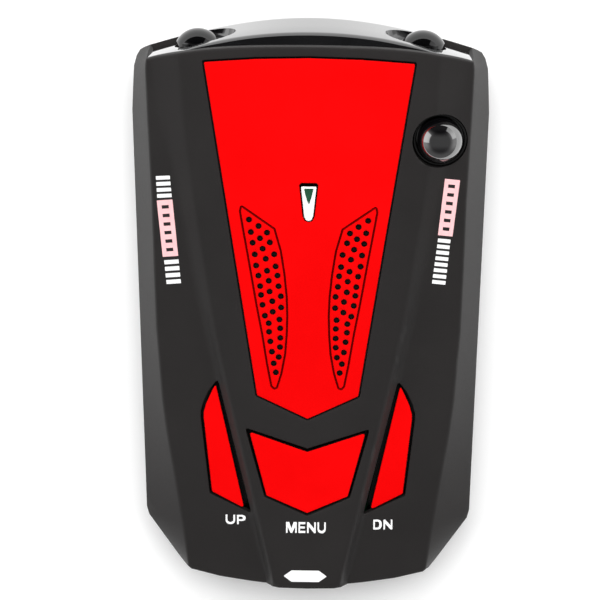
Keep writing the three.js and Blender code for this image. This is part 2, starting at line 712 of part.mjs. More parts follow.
// ---------------------------------------------------------------- materials
const mat = (color, roughness, metalness = 0, more = {}) =>
  new THREE.MeshStandardMaterial({ color, roughness, metalness, ...more });
const M = {
  shell: mat(0x2b292a, 0.78),
  red: mat(0xe50914, 0.42),
  gloss: mat(0x0b0b0c, 0.08),
  lens: mat(0x141416, 0.04),
  clear: mat(0xf2f4f4, 0.05, 0, { transparent: true, opacity: 0.6 }),
  smoke: mat(0x120c0c, 0.06),
  ring: mat(0x080808, 0.25),
  rubber: mat(0x1a1a1a, 0.9),
  board: mat(0x155c34, 0.55),
  chip: mat(0x161616, 0.6),
  steel: mat(0xb9bcc0, 0.3, 1),
  tin: mat(0xc9cbcd, 0.35, 1),
  cast: mat(0xa7a9ab, 0.45, 1),
  magnet: mat(0x4a4a4d, 0.5, 1),
  paper: mat(0x1d1c1b, 0.9),
  frame: mat(0x2c2c2e, 0.5),
  ivory: mat(0xe8e4d8, 0.5),
  wireRed: mat(0xc01818, 0.5),
  wireBlack: mat(0x151515, 0.5),
  led: mat(0xf4f0e0, 0.3),
};

const detector = new THREE.Group();
const body = new THREE.Group();
detector.add(body);
function add(name, s, material, group = body) {
  const mesh = new THREE.Mesh(geometryOf(s), material);
  mesh.name = name;
  group.add(mesh);
  return mesh;
}
add("top_shell", topShell, M.shell);
add("bottom_shell", bottomShell, M.shell);
add("grille_panel", grillePanel, M.red);
add("indicator_window", indicatorWindow, M.clear);
add("front_visor", visor, M.gloss);
add("front_lens_left", frontLens(-1), M.lens);
add("front_lens_right", frontLens(1), M.lens);
add("roof_lens", roofLens, M.lens);
add("roof_lens_ring", roofRing, M.ring);
add("display_window", displayWindow, M.smoke);
add("led_display", ledDisplay, M.chip);
add("display_board", displayBoard, M.board);
add("non_slip_pad", prism(PAD, PAD_DEPTH - PAD_T, PAD_DEPTH - 0.03), M.rubber);
for (const [name, s, x, y] of [
  ["up", upCap, -17.2, -30],
  ["menu", menuCap, 0, -32],
  ["down", downCap, 17.2, -30],
]) {
  const key = new THREE.Group(); // the cap and the plunger it pushes
  detector.add(key);
  add(name + "_button", s, M.red, key);
  add(name + "_switch_plunger", plunger(x, y), M.ivory, key);
  add(name + "_switch_housing", switchHousing(x, y), M.chip);
}
add("main_board", mainBoard, M.board);
add("horn_antenna", horn, M.cast);
add("microwave_board", microwaveBoard, M.board);
add("shield_can", shieldCan, M.tin);
add("sensor_board", sensorBoard, M.board);
add("indicator_led", indicatorLed, M.led);
add("laser_sensor_left", laserLeft, M.chip);
add("laser_sensor_right", laserRight, M.chip);
add("laser_sensor_roof", laserRoof, M.chip);
add("speaker_frame", speakerFrame, M.frame);
add("speaker_magnet", speakerMagnet, M.magnet);
add("speaker_cone", speakerCone, M.paper);
add("speaker_wire_red", wireRed, M.wireRed);
add("speaker_wire_black", wireBlack, M.wireBlack);
add("power_inlet", dcJack, M.chip);
add("power_switch_housing", slideHousing, M.tin);
const slider = new THREE.Group();
detector.add(slider);
add("power_switch_knob", slideKnob, M.chip, slider);
add("processor_chip", processor, M.chip);
add("amplifier_chip", amplifier, M.chip);
add("filter_capacitor", capacitor, M.tin);
add("choke_coil", coil, M.magnet);
["front_right", "front_left", "rear_right", "rear_left"].forEach((n, i) =>
  add("case_screw_" + n, caseScrews[i], M.steel),
);
["rear", "left", "right"].forEach((n, i) =>
  add("board_screw_" + n, boardScrews[i], M.steel),
);

// The pad stands proud of the base, so everything is lifted to rest it on Z = 0,
// and the whole length is centred on Y = 0.
detector.position.set(0, -0.475, PAD_T - PAD_DEPTH);

export default detector;
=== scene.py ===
import math

import bmesh
import bpy
import numpy as np
from mathutils import Matrix, Vector
from mathutils.geometry import delaunay_2d_cdt
from mathutils.kdtree import KDTree


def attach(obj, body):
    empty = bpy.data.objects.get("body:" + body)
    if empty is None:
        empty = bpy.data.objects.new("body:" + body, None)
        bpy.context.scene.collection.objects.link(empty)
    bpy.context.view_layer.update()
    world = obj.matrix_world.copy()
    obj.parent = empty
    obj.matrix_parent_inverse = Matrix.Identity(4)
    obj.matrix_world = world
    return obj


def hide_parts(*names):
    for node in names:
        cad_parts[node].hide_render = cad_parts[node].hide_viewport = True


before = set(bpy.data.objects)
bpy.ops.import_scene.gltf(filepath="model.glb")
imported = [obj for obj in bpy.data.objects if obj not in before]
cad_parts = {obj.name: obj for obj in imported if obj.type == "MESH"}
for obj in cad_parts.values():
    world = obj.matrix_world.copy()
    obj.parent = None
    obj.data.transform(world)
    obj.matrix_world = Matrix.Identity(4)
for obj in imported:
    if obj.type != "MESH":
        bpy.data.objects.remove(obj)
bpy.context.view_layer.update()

# Shapes are written in the design's own millimetres and moved into the row frame when a mesh is made.
SHIFT_Y, SHIFT_Z = -0.475, 0.4
MM = 0.001

# ------------------------------------------------------------------ numbers shared with the CAD design
Z_PART = 14.0
WALL = 2.0
INLAY_DEPTH = 1.6
ROOF_LENS = (24.85, 35.85, 4.4, 5.2)
ROOF_LENS_SEAT = 27.0
FRONT_X, FRONT_Z, FRONT_R, FRONT_Y = 21.45, 20.0, 4.65, 51.1
OPEN_X, CHIN_X, CORNER_X = 31.0, 22.0, 25.5

GRILLE_PANEL = [(-19.9, 50.95), (-9.8, -15.4), (0, -20.15), (9.8, -15.4), (19.9, 50.95), (10.1, 51.65), (0, 51.9), (-10.1, 51.65)]
MENU_CAP = [(-11.3, -22.95), (-7.95, -36.15), (0, -39.75), (7.95, -36.15), (11.3, -22.95), (0, -27)]
UP_CAP = [(-17.95, -13.7), (-18.85, -15.6), (-19.8, -17.8), (-20.28, -19.6), (-20.3, -20.7), (-18.72, -36.2), (-12.4, -39.6)]
WINDOW = [(-1.68, 27.1), (-1.02, 20.95), (-0.65, 20.1), (0, 19.85), (0.65, 20.1), (1.02, 20.95), (1.68, 27.1), (1.4, 27.35), (-1.4, 27.35)]
GRILLE_FIELD = [
    (-12.88, 22.89), (-6.51, 18.35), (-5.28, 13.96), (-4.58, 9.35), (-4.12, 4.72), (-3.99, 0.88),
    (-4.1, -2.98), (-4.38, -6.85), (-5.1, -10.86), (-5.95, -13.74), (-6.5, -14.03), (-7.05, -13.41),
    (-7.87, -9.04), (-8.81, -3.01), (-10.01, 3.48), (-11.42, 11.93), (-12.6, 18.72), (-13.11, 21.78),
]
HOLES = [
    (-11.38, 20.14), (-9.56, 18.88), (-11.02, 17.65), (-7.93, 17.57), (-9.28, 16.44),
    (-10.67, 15.52), (-7.38, 15.63), (-8.75, 14.35), (-10.27, 13.2), (-6.55, 13.27),
    (-8.17, 12.34), (-10.01, 10.97), (-6.27, 10.84), (-7.91, 9.93), (-9.56, 8.95),
    (-5.91, 8.99), (-7.58, 7.93), (-9.23, 6.84), (-5.7, 6.86), (-7.42, 5.77),
    (-9.06, 5.07), (-5.26, 4.83), (-6.89, 3.82), (-8.78, 3.06), (-5.2, 2.57),
    (-6.8, 1.68), (-8.32, 0.87), (-5.5, 0.14), (-7.57, -0.65), (-5.36, -1.65),
    (-7.5, -2.39), (-5.34, -3.59), (-7.26, -4.33), (-5.39, -5.46), (-6.95, -6.43),
    (-5.62, -7.49), (-6.59, -8.8), (-6.18, -10.63),
]
SCREW_XY = [(22.9, 22.0), (-22.9, 22.0), (18.3, -43.2), (-18.3, -43.2)]
PAD = [(-16.6, -37.5), (16.6, -37.5), (18.8, -33.8), (19.2, 36), (16.8, 39.6), (-16.8, 39.6), (-19.2, 36), (-18.8, -33.8)]
SPINE_FOOT = [(29.8, 50.6), (27.7, 38.2), (21.6, 5.3), (17.75, -11.9), (11.2, -40.3), (8.2, -51.8), (6.1, -55.2)]
SPINE_TOP = [(24.6, 54), (23.6, 38), (21.9, 24), (18.5, 0.5), (16.1, -12), (9.7, -41.2), (7.1, -53.4), (5.0, -55.3)]


# ------------------------------------------------------------------ small maths
def smooth01(t):
    t = np.clip(t, 0.0, 1.0)
    return t * t * (3 - 2 * t)


def smin(a, b, k):
    h = np.clip(0.5 + 0.5 * (b - a) / k, 0, 1)
    return b * (1 - h) + a * h - k * h * (1 - h)


def smax(a, b, k):
    return -smin(-a, -b, k)


def through(points, sigma):
    """A smoothed x as a function of y through these (x, y) points."""
    pts = sorted((y, x) for x, y in points)
    ys, xs = [p[0] for p in pts], [p[1] for p in pts]
    s0 = (xs[1] - xs[0]) / (ys[1] - ys[0])
    s1 = (xs[-1] - xs[-2]) / (ys[-1] - ys[-2])
    ys, xs = [ys[0] - 40] + ys + [ys[-1] + 40], [xs[0] - 40 * s0] + xs + [xs[-1] + 40 * s1]
    grid = np.arange(-90, 90, 0.2)
    value = np.interp(grid, ys, xs)
    half = int(4 * sigma / 0.2)
    kernel = np.exp(-0.5 * (np.arange(-half, half + 1) * 0.2 / sigma) ** 2)
    soft = np.convolve(np.pad(value, half, mode="edge"), kernel / kernel.sum(), mode="valid")
    return lambda y: np.interp(y, grid, soft)


foot_x = through(SPINE_FOOT[:-1], 2.2)
top_x = through(SPINE_TOP[:-1], 2.2)


def lip_y(x):
    return 54.05 - 0.001 * x * x - 2.4e-6 * x**4


def chin_y(x):
    return 57.05 - 0.0068 * x * x + 1.0e-6 * x**4


def deck(y):
    return 29.0 - 0.0875 * (52 - y)


def flank_z(x, y):
    ax = np.abs(x)
    fall = 0.9 * smooth01((y - 24) / 26.0) * smooth01((ax - 25.5) / 5.5)
    return deck(y) - 0.045 * np.maximum(0, ax - 9) - fall


def spine_z(x, y):
    return 26.0 + 0.07 * y - 0.0004 * x * x


def roof(x, y):
    """Height of the housing's upper face."""
    x, y = np.asarray(x, float), np.asarray(y, float)
    ax = np.abs(x)
    flank, plate = flank_z(x, y), spine_z(x, y)
    xf, xt = foot_x(y), top_x(y)
    zf, zt = flank_z(xf, y), spine_z(xt, y)
    steep = (zt - zf) / (xf - xt)
    ramp = zf + steep * (xf - ax)
    return smax(flank, smin(ramp, plate, np.maximum(0.05, steep * 0.55)), np.maximum(0.06, steep * 0.8))


def ceiling(x, y):
    ax = np.abs(np.asarray(x, float))
    return roof(x, y) - WALL - 1.4 * smooth01((top_x(y) - 0.2 - ax) / 2.0)


# ------------------------------------------------------------------ outlines
def signed_area(loop):
    p = np.asarray(loop)
    q = np.roll(p, -1, axis=0)
    return float((p[:, 0] * q[:, 1] - q[:, 0] * p[:, 1]).sum() / 2)


def ccw(loop):
    loop = [tuple(p) for p in loop]
    return loop if signed_area(loop) > 0 else loop[::-1]


def flip(loop):
    return [(-x, y) for x, y in loop][::-1]


def grow(loop, d):
    """Moves a closed outline outwards by d."""
    p = np.asarray(ccw(loop), float)
    a, b = np.roll(p, 1, axis=0), np.roll(p, -1, axis=0)
    u, w = p - a, b - p
    u /= np.linalg.norm(u, axis=1)[:, None]
    w /= np.linalg.norm(w, axis=1)[:, None]
    n1, n2 = np.stack([u[:, 1], -u[:, 0]], 1), np.stack([w[:, 1], -w[:, 0]], 1)
    m = n1 + n2
    m *= 2 * d / np.maximum((m * m).sum(1), 0.35)[:, None]
    return [tuple(q) for q in p + m]


def rounded(loop, r, step=0.9, arc=6):
    """A closed outline with its corners rounded and its long edges divided. r is one radius, or one for each corner."""
    loop = [np.array(p, float) for p in loop]
    n = len(loop)
    radii = r if hasattr(r, "__len__") else [r] * n
    out = []
    for i in range(n):
        a, p, b = loop[i - 1], loop[i], loop[(i + 1) % n]
        u, w = a - p, b - p
        lu, lw = np.linalg.norm(u), np.linalg.norm(w)
        u, w = u / lu, w / lw
        half = math.acos(max(-1, min(1, float(u @ w)))) / 2
        cut = min(radii[i] / max(math.tan(half), 1e-3), 0.42 * lu, 0.42 * lw)
        s, e = p + u * cut, p + w * cut
        turn = math.pi - 2 * half
        k = max(1, int(round(arc * min(1.0, turn / 1.2))))
        for j in range(k + 1):
            t = j / k
            out.append((1 - t) ** 2 * s + 2 * t * (1 - t) * p + t * t * e)
    done = []
    for i, p in enumerate(out):
        q = out[(i + 1) % len(out)]
        length = np.linalg.norm(q - p)
        if length < 1e-5:
            continue
        k = max(1, int(math.ceil(length / step)))
        done += [tuple(p + (q - p) * j / k) for j in range(k)]
    return ccw(done)


def circle(x, y, r, n):
    return [(x + r * math.cos(2 * math.pi * k / n), y + r * math.sin(2 * math.pi * k / n)) for k in range(n)]


def inside(points, loop):
    x, y = points[:, 0], points[:, 1]
    p = np.asarray(loop)
    hit = np.zeros(len(points), bool)
    for (x0, y0), (x1, y1) in zip(p, np.roll(p, -1, axis=0)):
        if y0 == y1:
            continue
        cross = ((y0 > y) != (y1 > y)) & (x < (x1 - x0) * (y - y0) / (y1 - y0) + x0)
        hit ^= cross
    return hit


def line_distance(points, line, closed=False):
    """Distance in plan from each point to a polyline."""
    p = np.asarray(line, float)
    pairs = list(zip(p[:-1], p[1:])) + ([(p[-1], p[0])] if closed else [])
    best = np.full(len(points), 1e9)
    for a, b in pairs:
        d = b - a
        t = np.clip(((points - a) @ d) / max(float(d @ d), 1e-12), 0, 1)
        best = np.minimum(best, np.linalg.norm(points - a - t[:, None] * d, axis=1))
    return best


# ------------------------------------------------------------------ one closed mesh, ring by ring
class Solid:
    def __init__(self):
        self.v, self.f = [], []

    def add(self, points):
        base = len(self.v)
        self.v += [(float(a), float(b), float(c)) for a, b, c in points]
        return list(range(base, len(self.v)))

    def ring(self, loop, z):
        p = np.asarray(loop, float)
        zz = z(p[:, 0], p[:, 1]) if callable(z) else np.full(len(p), float(z))
        return self.add(zip(p[:, 0], p[:, 1], zz))

    def bridge(self, a, b, closed=True):
        n = len(a)
        for i in range(n if closed else n - 1):
            j = (i + 1) % n
            q = []
            for k in (a[i], a[j], b[j], b[i]):
                if k not in q:
                    q.append(k)
            if len(q) > 2:
                self.f.append(q)

    def chain(self, rings, closed=True):
        for a, b in zip(rings[:-1], rings[1:]):
            self.bridge(a, b, closed)
        return rings[-1]

    def cap(self, a):
        self.f.append(list(a))

    def sheet(self, outer, holes, z, pitch, extra=(), near=0.55):
        """Fills the plan area between rings with an even mesh whose height is z(x, y)."""
        loops = [outer] + list(holes)
        ids = [i for loop in loops for i in loop]
        edge = np.array([self.v[i][:2] for i in ids])
        rims = [np.array([self.v[i][:2] for i in loop]) for loop in loops]
        lo, hi = rims[0].min(0), rims[0].max(0)
        rows = []
        dy = pitch * math.sqrt(3) / 2
        k = 0
        y = lo[1] + dy * 0.5
        while y < hi[1]:
            xs = np.arange(lo[0] + (k % 2) * pitch / 2, hi[0], pitch)
            rows.append(np.stack([xs, np.full(len(xs), y)], 1))
            y += dy
            k += 1
        grid = np.concatenate(rows)
        extra = np.asarray(extra, float).reshape(-1, 2)

        def keep(p):
            if not len(p):
                return p
            ok = inside(p, rims[0])
            for rim in rims[1:]:
                ok &= ~inside(p, rim)
            p = p[ok]
            for rim in rims:
                if len(p):
                    length = np.linalg.norm(rim - np.roll(rim, -1, axis=0), axis=1)
                    gap = min(near * pitch, 0.6 * float(np.median(length)))
                    p = p[line_distance(p, rim, True) > gap]
            return p

        extra, grid = keep(extra), keep(grid)
        if len(extra):
            tree = KDTree(len(extra))
            for n, p in enumerate(extra):
                tree.insert((p[0], p[1], 0), n)
            tree.balance()
            grid = np.array([p for p in grid if tree.find((p[0], p[1], 0))[2] > near * pitch]).reshape(-1, 2)
        inner = np.concatenate([extra, grid]) if len(extra) else grid
        zz = z(inner[:, 0], inner[:, 1]) if len(inner) else np.zeros(0)
        new = self.add(zip(inner[:, 0], inner[:, 1], zz)) if len(inner) else []
        allids = ids + new
        coords = [Vector(p) for p in np.concatenate([edge, inner])] if len(inner) else [Vector(p) for p in edge]
        edges, base = [], 0
        for loop in loops:
            n = len(loop)
            edges += [(base + i, base + (i + 1) % n) for i in range(n)]
            base += n
        _, out_e, out_f, orig, orig_e, _ = delaunay_2d_cdt(coords, edges, [], 0, 1e-7, True)
        back = [allids[o[0]] if o else -1 for o in orig]
        crossings = {frozenset(e): len(o) for e, o in zip(out_e, orig_e)}
        tri = [tuple(f) for f in out_f]
        owners = {}
        for n, f in enumerate(tri):
            for pair in zip(f, f[1:] + f[:1]):
                owners.setdefault(frozenset(pair), []).append(n)
        # walk in from the border; each rim that is crossed changes between outside and inside
        odd = [None] * len(tri)
        stack = [(own[0], crossings.get(key, 0) % 2) for key, own in owners.items() if len(own) == 1]
        while stack:
            n, value = stack.pop()
            if odd[n] is not None:
                continue
            odd[n] = value
            f = tri[n]
            for pair in zip(f, f[1:] + f[:1]):
                key = frozenset(pair)
                for other in owners[key]:
                    if odd[other] is None:
                        stack.append((other, (value + crossings.get(key, 0)) % 2))
        for f, value in zip(tri, odd):
            q = [back[i] for i in f]
            if value and -1 not in q and len(set(q)) == 3:
                self.f.append(q)

    def edge_round(self, loop, z, r, side, steps=4):
        """Rings that roll a surface over a rounded edge. side +1 for the rim of a hole, -1 for the rim of a raised piece.
        Returns the first ring, which the sheet meets, and the last, where the wall begins."""
        rings = []
        for k in range(steps + 1):
            a = math.pi / 2 * k / steps
            flat = grow(loop, side * r * (1 - math.sin(a)))
            p = np.asarray(flat)
            zz = z(p[:, 0], p[:, 1]) - r * (1 - math.cos(a))
            rings.append(self.add(zip(p[:, 0], p[:, 1], zz)))
        self.chain(rings)
        return rings[0], rings[-1]


MADE = []


def finish_mesh(name, vertices, faces, body, material, replaces=(), angle=32, cuts=()):
    mesh = bpy.data.meshes.new(name)
    v = [(x * MM, (y + SHIFT_Y) * MM, (z + SHIFT_Z) * MM) for x, y, z in vertices]
    mesh.from_pydata(v, [], faces)
    return settle(name, mesh, body, material, replaces, angle, cuts)


def settle(name, mesh, body, material, replaces=(), angle=32, cuts=()):
    bm = bmesh.new()
    bm.from_mesh(mesh)
    loose = [p for p in bm.verts if not p.link_faces]
    if loose:
        bmesh.ops.delete(bm, geom=loose, context="VERTS")
    bmesh.ops.recalc_face_normals(bm, faces=bm.faces)
    bm.to_mesh(mesh)
    bm.free()
    obj = bpy.data.objects.new(name, mesh)
    bpy.context.scene.collection.objects.link(obj)
    for operation, cutter in cuts:
        mod = obj.modifiers.new("cut", "BOOLEAN")
        mod.operation, mod.solver, mod.object = operation, "EXACT", cutter
        bpy.context.view_layer.update()
        graph = bpy.context.evaluated_depsgraph_get()
        made = bpy.data.meshes.new_from_object(obj.evaluated_get(graph))
        obj.modifiers.clear()
        obj.data = made
        mesh = made
        mesh.name = name
    for cutter in {c for _, c in cuts}:
        bpy.data.objects.remove(cutter)
    mesh.shade_smooth()
    mesh.set_sharp_from_angle(angle=math.radians(angle))
    mesh.materials.clear()
    mesh.materials.append(material)
    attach(obj, body)
    if replaces:
        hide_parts(*replaces)
    MADE.append(obj)
    return obj


def helper(solid):
    """A scratch solid for a boolean cut, in the row frame."""
    mesh = bpy.data.meshes.new("helper")
    mesh.from_pydata([(x * MM, (y + SHIFT_Y) * MM, (z + SHIFT_Z) * MM) for x, y, z in solid.v], [], solid.f)
    bm = bmesh.new()
    bm.from_mesh(mesh)
    bmesh.ops.recalc_face_normals(bm, faces=bm.faces)
    bm.to_mesh(mesh)
    bm.free()
    obj = bpy.data.objects.new("helper", mesh)
    bpy.context.scene.collection.objects.link(obj)
    return obj


# ------------------------------------------------------------------ materials
def node_material(name):
    m = bpy.data.materials.new(name)
    m.use_nodes = True
    tree = m.node_tree
    shader = next(n for n in tree.nodes if n.type == "BSDF_PRINCIPLED")
    where = tree.nodes.new("ShaderNodeTexCoord")
    return m, tree, shader, where.outputs["Object"]


def noise(tree, at, scale, detail=3.0, rough=0.55):
    n = tree.nodes.new("ShaderNodeTexNoise")
    n.inputs["Scale"].default_value = scale
    n.inputs["Detail"].default_value = detail
    n.inputs["Roughness"].default_value = rough
    tree.links.new(at, n.inputs["Vector"])
    return n.outputs["Fac"]


def spread(tree, value, low, high, frm=0.3, to=0.7):
    n = tree.nodes.new("ShaderNodeMapRange")
    n.inputs["From Min"].default_value, n.inputs["From Max"].default_value = frm, to
    n.inputs["To Min"].default_value, n.inputs["To Max"].default_value = low, high
    tree.links.new(value, n.inputs["Value"])
    return n.outputs["Result"]


def between(tree, value, c0, c1, p0=0.3, p1=0.7):
    n = tree.nodes.new("ShaderNodeValToRGB")
    n.color_ramp.elements[0].position, n.color_ramp.elements[1].position = p0, p1
    n.color_ramp.elements[0].color, n.color_ramp.elements[1].color = (*c0, 1), (*c1, 1)
    tree.links.new(value, n.inputs["Fac"])
    return n.outputs["Color"]


def bump(tree, shader, heights, strength, distance):
    last = None
    for value, share in heights:
        n = tree.nodes.new("ShaderNodeBump")
        n.inputs["Strength"].default_value = strength * share
        n.inputs["Distance"].default_value = distance
        tree.links.new(value, n.inputs["Height"])
        if last is not None:
            tree.links.new(last, n.inputs["Normal"])
        last = n.outputs["Normal"]
    tree.links.new(last, shader.inputs["Normal"])


def plastic(name, dark, light, rough, grain=5200.0, depth=0.25, distance=0.00003, patch=90.0, spec=0.5, metal=0.0,
            coat=0.0, coat_rough=0.05, wear=None, ior=1.5, coat_ior=1.5):
    m, tree, shader, at = node_material(name)
    broad = noise(tree, at, patch, 4.0)
    fine = noise(tree, at, grain, 2.0, 0.6)
    colour = between(tree, broad, dark, light)
    if wear is not None:
        geometry = tree.nodes.new("ShaderNodeNewGeometry")
        edge = spread(tree, geometry.outputs["Pointiness"], 0.0, 1.0, 0.53, 0.62)
        mix = tree.nodes.new("ShaderNodeMix")
        mix.data_type = "RGBA"
        tree.links.new(edge, mix.inputs["Factor"])
        tree.links.new(colour, mix.inputs["A"])
        mix.inputs["B"].default_value = (*wear, 1)
        colour = mix.outputs["Result"]
    tree.links.new(colour, shader.inputs["Base Color"])
    tree.links.new(spread(tree, fine, max(0.0, rough[0]), rough[1]), shader.inputs["Roughness"])
    shader.inputs["Specular IOR Level"].default_value = spec
    shader.inputs["Metallic"].default_value = metal
    shader.inputs["Coat Weight"].default_value = coat
    shader.inputs["Coat Roughness"].default_value = coat_rough
    shader.inputs["IOR"].default_value = ior
    shader.inputs["Coat IOR"].default_value = coat_ior
    bump(tree, shader, [(fine, 1.0), (broad, 0.25)], depth, distance)
    return m


SOFT_BLACK = plastic("soft_touch_black", (0.0165, 0.0150, 0.0148), (0.0195, 0.0178, 0.0175), (0.56, 0.68), grain=5600, depth=0.55,
                     distance=0.00004, patch=70, spec=0.38, wear=(0.025, 0.0235, 0.023))
SATIN_RED = plastic("satin_red", (0.74, 0.0012, 0.0016), (0.80, 0.0018, 0.0024), (0.34, 0.46), grain=6000, depth=0.2, patch=60, spec=0.03)
KEY_RED = plastic("key_red", (0.76, 0.0012, 0.0016), (0.82, 0.0018, 0.0024), (0.36, 0.48), grain=5200, depth=0.25, patch=80, spec=0.03)
GLOSS_BLACK = plastic("piano_black", (0.0035, 0.0035, 0.0040), (0.0060, 0.0060, 0.0065), (0.03, 0.06), grain=900, depth=0.02, patch=120,
                      spec=0.5, ior=1.55, coat=1.0, coat_rough=0.02, coat_ior=1.5)
# dark red for the engraved line: painted shade in the groove
GROOVE_PAINTED_SHADE = plastic("groove_painted_shade_red", (0.16, 0.001, 0.001), (0.22, 0.0015, 0.0015), (0.5, 0.6), grain=6000, depth=0.2, patch=60, spec=0.03)
# near black: the roof lens ring's own colour, and also painted shade on hole walls, key skirts and the light pipe's
# sides
BLACK_RING_AND_PAINTED_SHADE = plastic("ring_black", (0.004, 0.004, 0.004), (0.008, 0.008, 0.008), (0.22, 0.34), grain=4000, depth=0.15, spec=0.5)
LENS = plastic("smoked_lens", (0.0016, 0.0014, 0.0020), (0.0030, 0.0026, 0.0034), (0.008, 0.02), grain=400, depth=0.02, patch=300,
               ior=2.3, coat=1.0, coat_rough=0.01)
LENS_DARK = plastic("smoked_front_lens", (0.0010, 0.0010, 0.0012), (0.0016, 0.0015, 0.0018), (0.01, 0.03), grain=400, depth=0.02, patch=300,
                    spec=0.35, coat=0.25, coat_rough=0.02)
SMOKE = plastic("display_smoke", (0.010, 0.003, 0.003), (0.016, 0.005, 0.005), (0.04, 0.08), grain=700, depth=0.03, patch=200,
                spec=0.4, coat=0.25, coat_rough=0.02)
RUBBER = plastic("pad_rubber", (0.010, 0.010, 0.010), (0.018, 0.018, 0.018), (0.75, 0.92), grain=2600, depth=0.9, distance=0.00012, patch=150)
CHIP = plastic("moulded_component", (0.012, 0.012, 0.013), (0.022, 0.022, 0.023), (0.42, 0.58), grain=6000, depth=0.35)
IVORY = plastic("ivory_plastic", (0.62, 0.58, 0.48), (0.70, 0.66, 0.56), (0.35, 0.45), grain=3000, depth=0.15)
CAST = plastic("cast_metal", (0.42, 0.42, 0.42), (0.55, 0.55, 0.54), (0.38, 0.55), grain=1500, depth=0.7, distance=0.00008, metal=1.0)
TIN = plastic("tin_plate", (0.60, 0.61, 0.61), (0.72, 0.72, 0.71), (0.22, 0.36), grain=800, depth=0.25, metal=1.0)
STEEL = plastic("screw_steel", (0.50, 0.50, 0.52), (0.66, 0.66, 0.67), (0.22, 0.34), grain=5000, depth=0.3, metal=1.0)
CAN = plastic("capacitor_sleeve", (0.02, 0.03, 0.08), (0.03, 0.04, 0.11), (0.25, 0.35), grain=1800, depth=0.15)
FERRITE = plastic("magnet_ferrite", (0.045, 0.045, 0.05), (0.07, 0.07, 0.075), (0.5, 0.65), grain=3200, depth=0.6, metal=0.3)
CONE = plastic("speaker_paper", (0.012, 0.011, 0.010), (0.020, 0.018, 0.017), (0.8, 0.95), grain=2200, depth=0.9, distance=0.0001)
FRAME = plastic("speaker_plastic", (0.020, 0.020, 0.021), (0.030, 0.030, 0.031), (0.45, 0.6), grain=4200, depth=0.3)
WIRE_RED = plastic("wire_red", (0.50, 0.01, 0.01), (0.60, 0.02, 0.02), (0.35, 0.5), grain=2600, depth=0.2)
WIRE_BLACK = plastic("wire_black", (0.010, 0.010, 0.010), (0.018, 0.018, 0.018), (0.35, 0.5), grain=2600, depth=0.2)
PRINT_WHITE = plastic("print_white", (0.88, 0.88, 0.88), (0.95, 0.95, 0.95), (0.45, 0.6), grain=3000, depth=0.2, patch=500)
PRINT_PINK = plastic("print_pink", (0.90, 0.50, 0.52), (0.97, 0.58, 0.59), (0.45, 0.6), grain=3000, depth=0.2, patch=500)
BOARD = plastic("circuit_board", (0.008, 0.075, 0.028), (0.014, 0.11, 0.045), (0.28, 0.45), grain=900, depth=0.35, distance=0.00006,
                patch=350, coat=0.4, coat_rough=0.15)
DIFFUSER = plastic("led_diffuser", (0.80, 0.80, 0.72), (0.92, 0.92, 0.85), (0.25, 0.4), grain=1500, depth=0.1)
MILKY = plastic("indicator_milky", (0.80, 0.82, 0.82), (0.90, 0.91, 0.91), (0.12, 0.22), grain=1200, depth=0.05, patch=260, spec=0.5)
DIE = plastic("indicator_die", (0.010, 0.060, 0.030), (0.020, 0.095, 0.050), (0.15, 0.3), grain=1500, depth=0.05, patch=600)

# ------------------------------------------------------------------ camera
FOCAL = 3581.0
tilt, turn, roll, reach = math.radians(14.3), math.radians(1.2), math.radians(0.35), 0.700
aim = Vector((-0.0018, 0.000775, 0.0154))
back = Vector((math.sin(turn) * math.cos(tilt), math.sin(tilt), math.cos(turn) * math.cos(tilt))).normalized()
right = Vector((0, 1, 0)).cross(back).normalized()
over = back.cross(right)
right, over = right * math.cos(roll) + over * math.sin(roll), over * math.cos(roll) - right * math.sin(roll)
eye = aim + back * reach
camera_data = bpy.data.cameras.new("camera")
camera_data.sensor_width = 36.0
camera_data.lens = FOCAL / 600.0 * 36.0
camera_data.clip_start, camera_data.clip_end = 0.02, 20.0
camera = bpy.data.objects.new("camera", camera_data)
camera.matrix_world = Matrix((
    (right.x, over.x, back.x, eye.x),
    (right.y, over.y, back.y, eye.y),
    (right.z, over.z, back.z, eye.z),
    (0, 0, 0, 1),
))
bpy.context.scene.collection.objects.link(camera)
bpy.context.scene.camera = camera


# ------------------------------------------------------------------ top shell
def x_side(y):
    """Half width at the parting line on the long sides."""
    return 34.45 - 0.03075 * (38.8 - y)


def z_open(x):
    return 29.71 - 1.7 - 0.25 * max(0.0, abs(x) - 23.4)


